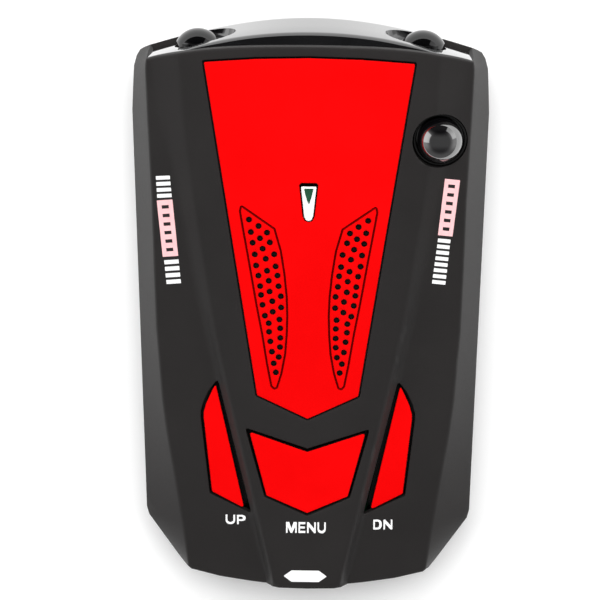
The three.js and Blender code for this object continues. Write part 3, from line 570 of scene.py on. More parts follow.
def half_stations():
    """From the middle of the front, round the +X side, to the middle of the rear.
    Each is (crease x, y, outline x, y, fillet)."""
    s = []
    for x in list(np.linspace(0, 23.4, 27)) + list(np.linspace(24.2, OPEN_X - 0.15, 9)):
        s.append((x, lip_y(x), x, lip_y(x) + 0.12, 0.45, "lip"))
    s.append((OPEN_X, lip_y(OPEN_X), OPEN_X, chin_y(OPEN_X), 0.45, "post"))
    keys = [
        (31.05, 50.50, 31.95, 51.05, 0.48),
        (31.10, 50.10, 32.85, 50.55, 0.52),
        (31.12, 49.60, 33.55, 49.35, 0.50),
        (31.12, 48.60, 34.07, 47.40, 0.50),
        (31.05, 46.80, 34.20, 45.00, 0.52),
        (30.75, 38.80, 34.45, 38.80, 0.55),
        (30.05, 23.70, x_side(23.7), 23.70, 0.55),
        (29.75, 10.00, x_side(10.0), 10.00, 0.55),
        (29.38, -2.60, x_side(-2.6), -2.60, 0.55),
        (28.35, -17.00, x_side(-17.4), -17.40, 0.55),
        (27.55, -23.80, x_side(-24.3), -24.30, 0.55),
        (26.10, -32.70, x_side(-33.2), -33.20, 0.55),
        (24.70, -42.00, 32.00, -41.40, 0.55),
        (24.45, -43.60, 31.55, -43.10, 0.55),
        (24.05, -47.20, 29.00, -46.75, 0.52),
        (23.66, -51.00, 25.60, -51.60, 0.50),
        (23.50, -52.35, 24.10, -53.60, 0.45),
        (22.90, -52.90, 23.20, -54.05, 0.40),
        (17.38, -54.28, 17.38, -55.10, 0.40),
    ]
    last = s[-1]
    for k in keys:
        a, b = np.array(last[:5]), np.array(k)
        n = max(1, int(math.ceil(max(np.linalg.norm(b[:2] - a[:2]), np.linalg.norm(b[2:4] - a[2:4])) / 1.5)))
        for j in range(1, n + 1):
            p = a + (b - a) * j / n
            s.append((*p, "side"))
        last = (*k, "side")
    for x in [17.24] + list(np.linspace(16.2, 0, 13)):
        s.append((x, np.interp(x, [0, 7, 11.3, 17.3], [-55.82, -55.66, -55.2, -54.3]), x, np.interp(x, [0, 8, 16, 23.8], [-56.25, -56.0, -55.3, -54.2]), 0.40, "screen"))
    return s


HALF = half_stations()
RING = HALF + [(-k[0], k[1], -k[2], k[3], k[4], k[5]) for k in HALF[-2:0:-1]]
RING_N = len(RING)


def soften(values, kind, passes):
    """Evens out plan corners along the ring, but not across the places where the wall steps."""
    v = np.array(values, float)
    for _ in range(passes):
        w = v.copy()
        for i in range(RING_N):
            a, b = (i - 1) % RING_N, (i + 1) % RING_N
            if kind[a] == kind[i] == kind[b]:
                w[i] = 0.25 * v[a] + 0.5 * v[i] + 0.25 * v[b]
        v = w
    return v


kinds = [k[5] for k in RING]
crease_xy = soften([(k[0], k[1]) for k in RING], kinds, 0)
edge_xy = soften([(k[2], k[3]) for k in RING], kinds, 0)
fillets = [k[4] for k in RING]


def towards(p, d):
    """p moved inwards by about d, without folding over at the corners."""
    return np.array([p[0] * (1 - d / 32.0), p[1] * (1 - d / 55.0)])


def build_top_shell():
    s = Solid()
    rows = [[] for _ in range(7 + 8)]
    inner_low, inner_up = [], []
    for i in range(RING_N):
        c, b, r, kind = crease_xy[i], edge_xy[i], fillets[i], kinds[i]
        k3 = np.array([c[0], c[1], float(roof(c[0], c[1]))])
        if kind == "lip":
            b3 = np.array([b[0], b[1], z_open(b[0])])
        else:
            b3 = np.array([b[0], b[1], Z_PART + 0.15])
            if kind == "screen":
                b3 = k3 + (b3 - k3) * (k3[2] - 16.9) / (k3[2] - b3[2])
        down = b3 - k3
        length = np.linalg.norm(down)
        low = k3 + down * min(0.45, r / length)
        p = towards(c, r)
        up = np.array([p[0], p[1], float(roof(p[0], p[1]))])
        for j in range(7):
            t = j / 6
            rows[j].append((1 - t) ** 2 * up + 2 * t * (1 - t) * k3 + t * t * low)
        end = b3 + np.array([0, 0, 0.2])
        for j in range(1, 7):
            rows[6 + j].append(low + (end - low) * j / 6)
        q = towards(b3, 0.08)
        rows[13].append(np.array([q[0], q[1], b3[2] + 0.06]))
        q = towards(b3, 0.22)
        rows[14].append(np.array([q[0], q[1], b3[2]]))
        q = towards(b3, 2.1)
        inner_low.append(np.array([q[0], q[1], b3[2]]))
        q = towards(c, 2.9)
        z = float(ceiling(q[0], q[1]))
        inner_up.append(np.array([q[0], q[1], z]))
    rings = [s.add(r) for r in rows]
    s.chain(rings)
    il = s.add(inner_low)
    s.bridge(rings[-1], il)
    iu = s.add(inner_up)
    s.bridge(il, iu)

    holes_out, holes_in = [], []
    # the three key openings
    for loop in (
        rounded(KEY_HOLE_UP, 0.45, 0.8), rounded(flip(KEY_HOLE_UP), 0.45, 0.8), rounded(KEY_HOLE_MENU, 0.45, 0.8),
    ):
        a, b = s.edge_round(loop, roof, 0.22, +1)
        c = s.ring(loop, ceiling)
        s.bridge(b, c)
        holes_out.append(a)
        holes_in.append(c)
    # the recess for the grille panel
    loop = rounded(grow(GRILLE_PANEL, 0.33), 0.5, 0.9)
    a, b = s.edge_round(loop, roof, 0.18, +1)
    holes_out.append(a)
    floor = s.ring(loop, lambda x, y: spine_z(x, y) - INLAY_DEPTH)
    s.bridge(b, floor)
    ports = []
    for port in (
        rounded(grow([p for p in GRILLE_FIELD if -13.3 < p[1] < 22.5], -0.35), 0.4, 1.0),
        rounded(flip(grow([p for p in GRILLE_FIELD if -13.3 < p[1] < 22.5], -0.35)), 0.4, 1.0),
        rounded(grow(WINDOW, 0.45), 0.3, 0.6),
    ):
        u = s.ring(port, lambda x, y: spine_z(x, y) - INLAY_DEPTH)
        w = s.ring(port, ceiling)
        s.bridge(u, w)
        ports.append(u)
        holes_in.append(w)
    s.sheet(floor, ports, lambda x, y: spine_z(x, y) - INLAY_DEPTH, 2.0)

    # points in line with the soft creases, so that they shade evenly
    extra = []
    for fn, offsets in ((foot_x, (-1.3, -0.85, -0.45, -0.1, 0.25, 0.6, 1.0)), (top_x, (-0.8, -0.45, -0.15, 0.15, 0.45, 0.8))):
        for off in offsets:
            for y in np.arange(-56.0, 54.5, 0.75):
                x = float(fn(y)) + off
                extra += [(x, y), (-x, y)]
    s.sheet(rings[0], holes_out, roof, 1.0, extra, near=0.5)
    s.sheet(iu, holes_in, ceiling, 2.6)

    seat = Solid()
    lens = circle(ROOF_LENS[0], ROOF_LENS[1], ROOF_LENS[3] + 0.08, 64)
    a, b = seat.ring(lens, 22.0), seat.ring(lens, 40.0)
    seat.bridge(a, b)
    seat.cap(a)
    seat.cap(b)
    return finish_mesh("housing_top", s.v, s.f, "housing", SOFT_BLACK, ["top_shell"], cuts=[("DIFFERENCE", helper(seat))])


KEY_HOLE_UP = [(-17.5, -12.75), (-19.3, -15.25), (-20.35, -17.6), (-20.86, -19.5), (-20.88, -20.85), (-19.16, -36.75), (-10.95, -40.75)]
KEY_HOLE_MENU = [(-12.15, -22.15), (-8.35, -36.5), (0, -40.4), (8.35, -36.5), (12.15, -22.15), (0, -26.35)]
build_top_shell()


# ------------------------------------------------------------------ bottom shell
def build_bottom_shell():
    s = Solid()
    half = []
    for x in list(np.linspace(0, 22.0, 23)) + list(np.linspace(22.5, 26.0, 9)) + list(np.linspace(27.0, OPEN_X, 5)):
        top = float(np.interp(x, [0, CHIN_X, 23.4, CORNER_X, 40], [10.5, 10.5, 11.86, 13.85, 13.85]))
        half.append((x, chin_y(x), top))
    for k in HALF:
        if k[5] == "side":
            half.append((k[2], k[3], 13.85))
    for k in HALF:
        if k[5] == "screen":
            half.append((k[2], k[3], 6.2))
    ring = half + [(-a, b, c) for a, b, c in half[-2:0:-1]]
    n = len(ring)
    xy = np.array([(a, b) for a, b, _ in ring])
    tops = [c for _, _, c in ring]
    for _ in range(0):
        w = xy.copy()
        for i in range(n):
            if tops[(i - 1) % n] == tops[i] == tops[(i + 1) % n]:
                w[i] = 0.25 * xy[(i - 1) % n] + 0.5 * xy[i] + 0.25 * xy[(i + 1) % n]
        xy = w

    def at(p, inset, z):
        return np.array([p[0] * (1 - inset / 34.4), p[1] * (1 - inset / 56.5), z])

    def bez(a, b, c, k):
        return [(1 - t) ** 2 * np.array(a) + 2 * t * (1 - t) * np.array(b) + t * t * np.array(c) for t in [j / k for j in range(k + 1)]]

    low = bez((2.72, 4.15), (3.2, 2.4), (3.95, 1.65), 5) + bez((4.55, 1.05), (5.6, 0.0), (6.9, 0.0), 5)
    rows = [[] for _ in range(2 + 7 + len(low))]
    inner_top, inner_low, inner_base = [], [], []
    for i in range(n):
        p, top = xy[i], tops[i]
        inset = lambda z: 3.2 * (Z_PART - z) / 11.6
        rows[0].append(at(p, inset(top) + 0.22, top))
        rows[1].append(at(p, inset(top) + 0.05, top - 0.07))
        z0, z1 = top - 0.22, 4.15
        if top < 8:
            z1 = min(z1, top - 0.5)
        for j in range(7):
            z = z0 + (z1 - z0) * j / 6
            rows[2 + j].append(at(p, inset(z), z))
        for j, (k, z) in enumerate(low):
            zz = min(z, z1 - 0.05 * (j + 1)) if z > 2.0 else z
            rows[9 + j].append(at(p, k, zz))
        inner_top.append(at(p, inset(top) + 2.1, top))
        inner_low.append(at(p, 5.2, 3.0))
        inner_base.append(at(p, 7.2, WALL))
    rings = [s.add(r) for r in rows]
    s.chain(rings)
    a, b, c = s.add(inner_top), s.add(inner_low), s.add(inner_base)
    s.bridge(rings[0], a)
    s.bridge(a, b)
    s.bridge(b, c)
    pad = rounded(grow(PAD, 0.3), 1.2, 2.0)
    u, w = s.edge_round(pad, lambda x, y: 0 * x, 0.15, +1)
    # the base is seen from below, so the recess goes up
    for i in set(range(u[0], w[-1] + 1)):
        x, y, z = s.v[i]
        s.v[i] = (x, y, -z)
    deep = s.ring(pad, 0.6)
    s.bridge(w, deep)
    s.sheet(deep, [], lambda x, y: 0 * x + 0.6, 5.0)
    s.sheet(rings[-1], [u], lambda x, y: 0 * x, 2.4)
    s.sheet(c, [], lambda x, y: 0 * x + WALL, 5.0)

    posts, wells, sides = Solid(), Solid(), Solid()

    def tube(solid, x, y, r, z0, z1, k=40):
        e, f = solid.ring(circle(x, y, r, k), z0), solid.ring(circle(x, y, r, k), z1)
        solid.bridge(e, f)
        solid.cap(e)
        solid.cap(f)

    for x, y in SCREW_XY:
        tube(posts, x, y, 2.95, 1.03, 13.3)
    for x, y in SCREW_XY:
        rings2 = [wells.ring(circle(x, y, r, 40), z) for r, z in ((3.0, -1.0), (2.72, 0.15), (2.5, 0.45), (2.5, 8.0), (1.45, 8.0), (1.45, 14.0))]
        wells.chain(rings2)
        wells.cap(rings2[0])
        wells.cap(rings2[-1])
    # side openings: round for the power inlet, a slot with round ends for the switch
    ring0 = [(0, 3.02 * math.cos(t), 3.02 * math.sin(t)) for t in np.linspace(0, 2 * math.pi, 49)[:-1]]
    for x0, x1, cy, cz, shape in (
        (29.0, 40.0, 6.0, 9.9, ring0),
        (29.0, 40.0, -12.0, 9.3, [(0, y, z) for y, z in rounded([(-3.0, -1.3), (3.0, -1.3), (3.0, 1.3), (-3.0, 1.3)], 0.5, 1.0)]),
    ):
        e = sides.add([(x0, cy + p[1], cz + p[2]) for p in shape])
        f = sides.add([(x1, cy + p[1], cz + p[2]) for p in shape])
        sides.bridge(e, f)
        sides.cap(e)
        sides.cap(f)
    return finish_mesh("housing_bottom", s.v, s.f, "housing", SOFT_BLACK, ["bottom_shell"],
                       cuts=[("UNION", helper(posts)), ("DIFFERENCE", helper(wells)), ("DIFFERENCE", helper(sides))])


build_bottom_shell()


# ------------------------------------------------------------------ display window
def build_display():
    """A smoked plate that fills the rear opening and follows the outside of both shells."""
    s = Solid()
    sections = []
    for x in np.linspace(-17.0, 17.0, 41):
        ax = abs(x)
        edge = float(np.interp(ax, [0, 8, 16, 23.8], [-56.25, -56.0, -55.3, -54.2]))
        crest = float(np.interp(ax, [0, 7, 11.3, 17.3], [-55.82, -55.66, -55.2, -54.3]))
        crest_z = float(roof(ax, crest))
        outer = []
        for z in (6.45, 6.6, 8.0, 10.0, 12.0, 13.6, 14.3, 15.4, 16.45, 16.6):
            inset = 3.2 * max(0.0, Z_PART - z) / 11.6
            y = edge * (1 - inset / 56.5) if z < Z_PART + 0.15 else edge + (crest - edge) * (z - Z_PART - 0.15) / (crest_z - Z_PART - 0.15)
            roll = 0.18 if z in (6.45, 16.6) else 0.0
            outer.append((x * (1 - inset / 34.4), y + 0.3 + roll, z))
        inner = [(p[0], p[1] + 1.8, p[2]) for p in reversed(outer)]
        sections.append(s.add(outer + inner))
    for a, b in zip(sections[:-1], sections[1:]):
        s.bridge(a, b)
    s.cap(sections[0])
    s.cap(sections[-1])
    return finish_mesh("display_lens", s.v, s.f, "housing", SMOKE, ["display_window"], angle=40)


build_display()


# ------------------------------------------------------------------ inlaid grille panel
def build_panel():
    s = Solid()
    groove = rounded(GRILLE_FIELD, 0.35, 0.35)
    lines = [groove, flip(groove)]

    def top(x, y):
        z = spine_z(x, y) + 0.08
        p = np.stack([np.atleast_1d(x), np.atleast_1d(y)], 1)
        d = np.minimum(line_distance(p, lines[0], True), line_distance(p, lines[1], True))
        return z - (0.42 * np.clip(1.25 - d / 0.17, 0, 1)).reshape(np.shape(z))

    plain = lambda x, y: spine_z(x, y) + 0.08
    under = lambda x, y: spine_z(x, y) - INLAY_DEPTH + 0.25
    loop = rounded(GRILLE_PANEL, 0.35, 0.9)
    outer, wall = s.edge_round(loop, plain, 0.16, -1)
    low = s.ring(loop, under)
    s.bridge(wall, low)
    tops, unders = [], []
    win = rounded(grow(WINDOW, 0.14), 0.25, 0.5)
    a, b = s.edge_round(win, plain, 0.14, +1, 3)
    c = s.ring(win, under)
    s.bridge(b, c)
    tops.append(a)
    unders.append(c)
    for x, y in HOLES:
        for side in (1, -1):
            hole = circle(side * x, y, 0.59, 18)
            a, b = s.edge_round(hole, plain, 0.05, +1, 2)
            c = s.ring(hole, under)
            s.bridge(b, c)
            tops.append(a)
            unders.append(c)
    extra = []
    for line in lines:
        for off in (-0.38, -0.21, 0.0, 0.21, 0.38):
            extra += grow(line, off) if off else list(line)
    s.sheet(outer, tops, top, 0.9, extra, near=0.35)
    s.sheet(low, unders, under, 2.2)
    panel = finish_mesh("grille_inlay", s.v, s.f, "housing", SATIN_RED, ["grille_panel"], angle=28)
    # the hole walls are coloured black and the engraved line dark red: painted shade inside the holes and in the groove
    panel.data.materials.append(BLACK_RING_AND_PAINTED_SHADE)
    panel.data.materials.append(GROOVE_PAINTED_SHADE)
    faces = panel.data.polygons
    mid = np.array([f.center[:] for f in faces]) / MM - np.array([0, SHIFT_Y, SHIFT_Z])
    depth = spine_z(mid[:, 0], mid[:, 1]) + 0.08 - mid[:, 2]
    to_line = np.minimum(line_distance(mid[:, :2], lines[0], True), line_distance(mid[:, :2], lines[1], True))
    flat = np.array([abs(f.normal.z) for f in faces])
    for f, d, line, up in zip(faces, depth, to_line, flat):
        # painted shade: faces along the engraved line take the dark red
        if line < 0.2 and d < 0.6:
            f.material_index = 2
        # painted shade: the steep walls of the holes take the black
        elif d > 0.12 and up < 0.5:
            f.material_index = 1
    return panel


build_panel()


# ------------------------------------------------------------------ indicator window
PIPE = [(-1.48, 26.6), (-0.88, 20.95), (-0.54, 20.15), (0, 19.93), (0.54, 20.15), (0.88, 20.95), (1.48, 26.6), (1.3, 26.8), (-1.3, 26.8)]


def build_window():
    s = Solid()
    loop = rounded(PIPE, 0.25, 0.45)
    crown = lambda x, y: spine_z(x, y) + 0.16
    a, b = s.edge_round(loop, crown, 0.15, -1, 4)
    s.sheet(a, [], lambda x, y: crown(x, y) + 0.06 * np.clip(1 - (np.asarray(x) / 1.3) ** 2, 0, 1), 0.5)
    mask = s.ring(loop, lambda x, y: crown(x, y) - 0.3)
    s.bridge(b, mask)
    b = mask
    c = s.ring(loop, 22.9)
    wide = rounded([(-2.6, 19.0), (2.6, 19.0), (2.6, 28.2), (-2.6, 28.2)], 0.5, 0.8)
    s.bridge(b, c)
    d, e = s.ring(wide, 22.9), s.ring(wide, 21.7)
    s.sheet(d, [c], lambda x, y: 0 * x + 22.9, 1.5)
    s.bridge(d, e)
    s.sheet(e, [], lambda x, y: 0 * x + 21.7, 1.5)
    pipe = finish_mesh("indicator_light_pipe", s.v, s.f, "housing", MILKY, ["indicator_window"])
    # coloured black below the surface: painted shade where the pipe shows in the gap round it
    pipe.data.materials.append(BLACK_RING_AND_PAINTED_SHADE)
    for face in pipe.data.polygons:
        x, y, z = face.center / MM
        if z - SHIFT_Z < float(crown(x, y - SHIFT_Y)) - 0.4:
            face.material_index = 1
    return pipe


build_window()


# ------------------------------------------------------------------ push keys
def build_key(name, outline, top, flange_depth, stem, body, node):
    s = Solid()
    loop = rounded(outline, 0.45, 0.7, 5)
    a, b = s.edge_round(loop, top, 0.16, -1, 4)
    s.sheet(a, [], top, 0.9)
    shade = s.ring(loop, lambda x, y: top(x, y) - 0.45)
    s.bridge(b, shade)
    step = lambda x, y: top(x, y) - flange_depth
    bottom = lambda x, y: top(x, y) - flange_depth - 1.1
    c = s.ring(loop, step)
    s.bridge(shade, c)
    wide = grow(loop, 0.65)
    d, e = s.ring(wide, step), s.ring(wide, bottom)
    s.bridge(c, d)
    s.bridge(d, e)
    post = circle(stem[0], stem[1], 1.7, 28)
    f, g = s.ring(post, bottom), s.ring(post, 12.3)
    h = s.ring(circle(stem[0], stem[1], 1.4, 28), 11.95)
    s.sheet(e, [f], bottom, 1.6)
    s.bridge(f, g)
    s.bridge(g, h)
    s.cap(h)
    key = finish_mesh(name, s.v, s.f, body, KEY_RED, [node])
    bm = bmesh.new()
    bm.from_mesh(key.data)
    bmesh.ops.holes_fill(bm, edges=[e for e in bm.edges if e.is_boundary], sides=8)
    bm.to_mesh(key.data)
    bm.free()
    # the caps are red on top; their skirts and stems are coloured black: painted shade in the gap round each key
    key.data.materials.append(BLACK_RING_AND_PAINTED_SHADE)
    for face in key.data.polygons:
        x, y, z = face.center / MM
        if z - SHIFT_Z < float(top(x, y - SHIFT_Y)) - 0.3:
            face.material_index = 1
    return key


build_key("key_up", UP_CAP, lambda x, y: deck(y) + 0.30 + 0.045 * (x + 9), 3.55, (-17.2, -30), "up_key", "up_button")
build_key("key_down", flip(UP_CAP), lambda x, y: deck(y) + 0.30 - 0.045 * (x - 9), 3.55, (17.2, -30), "down_key", "down_button")
build_key("key_menu", MENU_CAP, lambda x, y: spine_z(x, y) + 0.12, 4.1, (0, -32), "menu_key", "menu_button")


# ------------------------------------------------------------------ front visor
def ramp(x):
    return min(1.0, max(0.0, (abs(x) - CHIN_X) / (CORNER_X - CHIN_X)))


def smooth_corner(points, radii, arc=6, step=2.2):
    """An open profile with its corners rounded."""
    pts = [np.array(p, float) for p in points]
    out = [pts[0]]
    for i in range(1, len(pts) - 1):
        a, p, b = pts[i - 1], pts[i], pts[i + 1]
        lu, lw = np.linalg.norm(a - p), np.linalg.norm(b - p)
        cut = min(radii[i], 0.45 * lu, 0.45 * lw)
        u, w = p + (a - p) / max(lu, 1e-6) * cut, p + (b - p) / max(lw, 1e-6) * cut
        for j in range(arc + 1):
            t = j / arc
            out.append((1 - t) ** 2 * u + 2 * t * (1 - t) * p + t * t * w)
    out.append(pts[-1])
    return out


def build_visor():
    s = Solid()
    sections = []
    xs = np.linspace(-OPEN_X + 0.25, OPEN_X - 0.25, 105)
    for x in xs:
        ax = abs(x)
        lip = 27.71 if ax <= 23.4 else 27.71 - 2.2 * (ax - 23.4) / 7.2
        swell = 1.95 * max(0.0, 1 - (x / 23.5) ** 2)
        y0 = lip_y(x) - 0.35
        low = 10.9 + 3.4 * ramp(x)
        y1, z1 = chin_y(x) - 0.1 - 0.75 * ramp(x), max(14.3, low + 0.7)
        y2 = chin_y(x) - 0.4 - 0.55 * ramp(x)
        brow = (y0 + 0.35 + swell, lip - 0.3 - swell)
        prof = smooth_corner(
            [(48.9, lip - 0.8), (50.4, lip), (y0, lip), brow, ((brow[0] + y1) / 2, (brow[1] + z1) / 2), (y1, z1), (y2, low), (48.9, low)],
            [0, 0.2, 0.25, 0.8, 0, 0.5, 0.45, 0],
        )
        # even spacing down the tall face, so that every section has the same number of points
        inner = [(48.9, min(low + 1.5, lip - 3)), (y2 - 2.0, min(low + 1.5, lip - 3)), (y0 - 1.9, lip - 1.7), (48.9, lip - 1.7)]
        sections.append(s.add([(x, p[0], p[1]) for p in prof + [np.array(q) for q in inner]]))
    for a, b in zip(sections[:-1], sections[1:]):
        s.bridge(a, b)
    s.cap(sections[0])
    s.cap(sections[-1])
    cutters = []
    cut = Solid()
    for side in (1, -1):
        lipf, chinf = lip_y(FRONT_X), chin_y(FRONT_X)
        face = lambda z: lipf - 0.3 + (chinf - lipf) * (26.71 - z) / (26.71 - Z_PART)
        rings = []
        for k, dy in ((1.10, 4.0), (1.035, 0.35), (1.0, -0.08), (0.955, -0.42), (0.90, -0.52)):
            rings.append(cut.add([
                (side * (FRONT_X - 0.2) + 6.6 * k * math.cos(a), face(FRONT_Z + 5.0 * k * math.sin(a)) + dy, FRONT_Z + 5.0 * k * math.sin(a))
                for a in np.linspace(0, 2 * math.pi, 57)[:-1]
            ]))
        cut.chain(rings)
        cut.cap(rings[0])
        cut.cap(rings[-1])
    bore = Solid()
    for side in (1, -1):
        e = [bore.add([(side * FRONT_X + 4.45 * math.cos(a), y, FRONT_Z + 4.45 * math.sin(a)) for a in np.linspace(0, 2 * math.pi, 57)[:-1]]) for y in (45.0, 60.0)]
        bore.bridge(*e)
        bore.cap(e[0])
        bore.cap(e[1])
    return finish_mesh("visor_front", s.v, s.f, "housing", GLOSS_BLACK, ["front_visor"], angle=30,
                       cuts=[("DIFFERENCE", helper(cut)), ("DIFFERENCE", helper(bore))])


build_visor()


# ------------------------------------------------------------------ lenses and ring
def turned(profile, n, place):
    """A closed solid turned from (radius, height) pairs, first and last on the axis or not."""
    s = Solid()
    rings = []
    for r, h in profile:
        if r < 1e-6:
            rings.append(s.add([place(0, 0, h)]))
        else:
            rings.append(s.add([place(r * math.cos(2 * math.pi * k / n), r * math.sin(2 * math.pi * k / n), h) for k in range(n)]))
    for a, b in zip(rings[:-1], rings[1:]):
        if len(a) == 1 and len(b) == 1:
            continue
        if len(a) == 1:
            for k in range(n):
                s.f.append([a[0], b[k], b[(k + 1) % n]])
        elif len(b) == 1:
            for k in range(n):
                s.f.append([b[0], a[(k + 1) % n], a[k]])
        else:
            s.bridge(a, b)
    if len(rings[0]) > 1 and len(rings[-1]) > 1:
        s.bridge(rings[-1], rings[0])
    return s


def dome_profile(r, cut, skirt, foot):
    rim = math.sqrt(r * r - cut * cut)
    a0 = math.asin(cut / r)
    out = [(0, -skirt - foot), (rim + 0.05, -skirt - foot), (rim + 0.05, -skirt), (rim, -skirt), (rim, -0.1)]
    for k in range(25):
        a = a0 + (math.pi / 2 - a0) * k / 24
        out.append((0 if k == 24 else r * math.cos(a), r * math.sin(a) - cut))
    return out


lx, ly, lr, lring = ROOF_LENS
s = turned(dome_profile(lr, 0.4, 1.6, 1.1), 72, lambda a, b, h: (lx + a, ly + b, ROOF_LENS_SEAT + h))
finish_mesh("lens_roof", s.v, s.f, "housing", LENS, ["roof_lens"])


def ring_place(a, b, h):
    z = 23.0 + h
    if h > 2.0:  # the rim follows the slope of the roof
        z += 0.0875 * b * 0.9 - 0.06 * a
    return (lx + a, ly + b, z)


rim = [(4.52, 0.0), (5.1, 0.0), (5.1, 2.7)]
for k in range(7):
    t = math.pi / 2 * k / 6
    rim.append((4.9 + 0.2 * math.cos(t), 3.3 + 0.2 * math.sin(t)))
rim += [(4.72, 3.46), (4.58, 3.3), (4.52, 3.0)]
s = turned(rim, 72, ring_place)
finish_mesh("lens_roof_ring", s.v, s.f, "housing", BLACK_RING_AND_PAINTED_SHADE, ["roof_lens_ring"])

for side, name in ((-1, "left"), (1, "right")):
    s = turned(dome_profile(FRONT_R, 2.2, 1.3, 2.2), 72, lambda a, b, h: (side * FRONT_X + a, FRONT_Y + 2.2 + h, FRONT_Z + b))
    finish_mesh("lens_front_" + name, s.v, s.f, "housing", LENS_DARK, ["front_lens_" + name])


# ------------------------------------------------------------------ printed marks
def laid(name, loops, material, lift=0.02, surface=roof, soft=0.08):
    """Flat ink on a surface: closed outlines, each a thin solid that follows it. An outline may carry holes."""
    s = Solid()
    for loop in loops:
        outer, holes = loop if isinstance(loop, tuple) and isinstance(loop[1], list) and isinstance(loop[0], list) else (loop, [])
        rims = [rounded(outer, soft, 0.5, 2)] + [rounded(hole, soft, 0.5, 2) for hole in holes]
        ups = [s.ring(rim, lambda x, y: surface(x, y) + lift) for rim in rims]
        downs = [s.ring(rim, lambda x, y: surface(x, y) - 0.03) for rim in rims]
        s.sheet(ups[0], ups[1:], lambda x, y: surface(x, y) + lift, 0.7)
        s.sheet(downs[0], downs[1:], lambda x, y: surface(x, y) - 0.03, 0.7)
        for up, down in zip(ups, downs):
            s.bridge(up, down)
    return finish_mesh(name, s.v, s.f, "housing", material)


# bold letters on a cell one unit high: width, outline, holes
T = 0.14
GLYPHS = {
    "U": (0.74, [(0, 1), (0, 0.34), (0.06, 0.14), (0.2, 0.02), (0.37, -0.01), (0.54, 0.02), (0.68, 0.14), (0.74, 0.34), (0.74, 1), (0.74 - T, 1),
                 (0.74 - T, 0.36), (0.47, 0.24), (0.37, 0.21), (0.27, 0.24), (T, 0.36), (T, 1)], []),
    "P": (0.68, [(0, 0), (T, 0), (T, 0.35), (0.44, 0.35), (0.61, 0.43), (0.68, 0.58), (0.68, 0.78), (0.61, 0.92), (0.44, 1), (0, 1)],
          [[(T, 0.54), (0.40, 0.54), (0.46, 0.60), (0.46, 0.75), (0.40, 0.81), (T, 0.81)]]),
    "M": (0.96, [(0, 0), (T, 0), (T, 0.58), (0.40, 0), (0.56, 0), (0.96 - T, 0.58), (0.96 - T, 0), (0.96, 0), (0.96, 1), (0.68, 1), (0.48, 0.42),
                 (0.28, 1), (0, 1)], []),
    "E": (0.62, [(0, 0), (0.62, 0), (0.62, 0.2), (T, 0.2), (T, 0.41), (0.57, 0.41), (0.57, 0.6), (T, 0.6), (T, 0.8), (0.61, 0.8), (0.61, 1), (0, 1)], []),
    "N": (0.78, [(0, 0), (T, 0), (T, 0.6), (0.78 - T, 0), (0.78, 0), (0.78, 1), (0.78 - T, 1), (0.78 - T, 0.4), (T, 1), (0, 1)], []),
    "D": (0.74, [(0, 0), (0.42, 0), (0.62, 0.09), (0.74, 0.3), (0.74, 0.7), (0.62, 0.91), (0.42, 1), (0, 1)],
          [[(T, 0.2), (0.39, 0.2), (0.48, 0.26), (0.52, 0.38), (0.52, 0.62), (0.48, 0.74), (0.39, 0.8), (T, 0.8)]]),
}


def legend(name, text, centre, width, height):
    gap = 0.15
    total = sum(GLYPHS[c][0] for c in text) + gap * (len(text) - 1)
    at, loops = -total / 2, []
    for c in text:
        w, outline, holes = GLYPHS[c]
        put = lambda pts: [(centre[0] + (at + x) * width / total, centre[1] + (y - 0.5) * height) for x, y in pts]
        loops.append((put(outline), [put(h) for h in holes]))
        at += w + gap
    return laid(name, loops, PRINT_WHITE, soft=0.04)


legend("legend_up", "UP", (-14.1, -42.1), 3.95, 2.0)
legend("legend_menu", "MENU", (-0.2, -42.8), 7.8, 2.3)
legend("legend_down", "DN", (14.9, -42.8), 3.75, 2.1)
laid("mark_rear", [[(-4.55, -53.1), (-3.0, -54.3), (2.4, -54.3), (3.95, -53.1), (2.4, -51.9), (-3.0, -51.9)]], PRINT_WHITE)
laid("indicator_die", [[(-0.86, 26.45), (-0.66, 25.3), (-0.28, 24.0), (0.1, 23.3), (0.62, 25.06), (0.92, 26.45)]], DIE,
     surface=lambda x, y: spine_z(x, y) + 0.235, soft=0.1)
# a dark sheet under the grille holes: painted shade inside them
for side, name in ((1, "left"), (-1, "right")):
    port = grow([p for p in GRILLE_FIELD if -13.3 < p[1] < 22.5], 0.1)
    laid("hole_shade_sheet_" + name, [port if side == 1 else flip(port)], CONE, lift=0.12, surface=lambda x, y: spine_z(x, y) - INLAY_DEPTH + 0.05, soft=0.3)


def strip_marks(name, start, end, half0, half1, spans, material):
    """Bars across a band that runs from start to end, each span given as shares of its length and width."""
    a, b = np.array(start, float), np.array(end, float)
    d = (b - a) / np.linalg.norm(b - a)
    n = np.array([-d[1], d[0]])
    loops = []
    for t0, t1, w0, w1 in spans:
        p = []
        for t, w in ((t0, w0), (t1, w0), (t1, w1), (t0, w1)):
            half = half0 + (half1 - half0) * t
            p.append(tuple(a + (b - a) * t + n * half * w))
        loops.append(p)
    return laid(name, loops, material)


# graduated bars stand where the model's name and number are on the real one
bars = lambda count, share: [(k / (count - 1 + share), (k + share) / (count - 1 + share), -1, 1) for k in range(count)]
ladder = [(0.0, 1.0, -1, -0.45), (0.0, 1.0, 0.45, 1)] + [(k / 6.6, (k + 0.6) / 6.6, -0.47, 0.47) for k in range(7)]
strip_marks("scale_left_front", (-27.9, 28.2), (-27.6, 23.9), 1.35, 1.4, bars(4, 0.62), PRINT_WHITE)
strip_marks("scale_left_band", (-27.6, 23.4), (-26.55, 12.1), 1.5, 1.5, ladder, PRINT_PINK)
strip_marks("scale_left_rear", (-26.4, 11.4), (-25.95, 6.6), 1.4, 1.4, bars(4, 0.62), PRINT_WHITE)
strip_marks("scale_right_band", (27.35, 28.1), (26.15, 16.85), 1.45, 1.4, ladder, PRINT_PINK)
strip_marks("scale_right_rear", (26.0, 16.2), (25.05, 7.1), 1.2, 1.3, bars(8, 0.62), PRINT_WHITE)

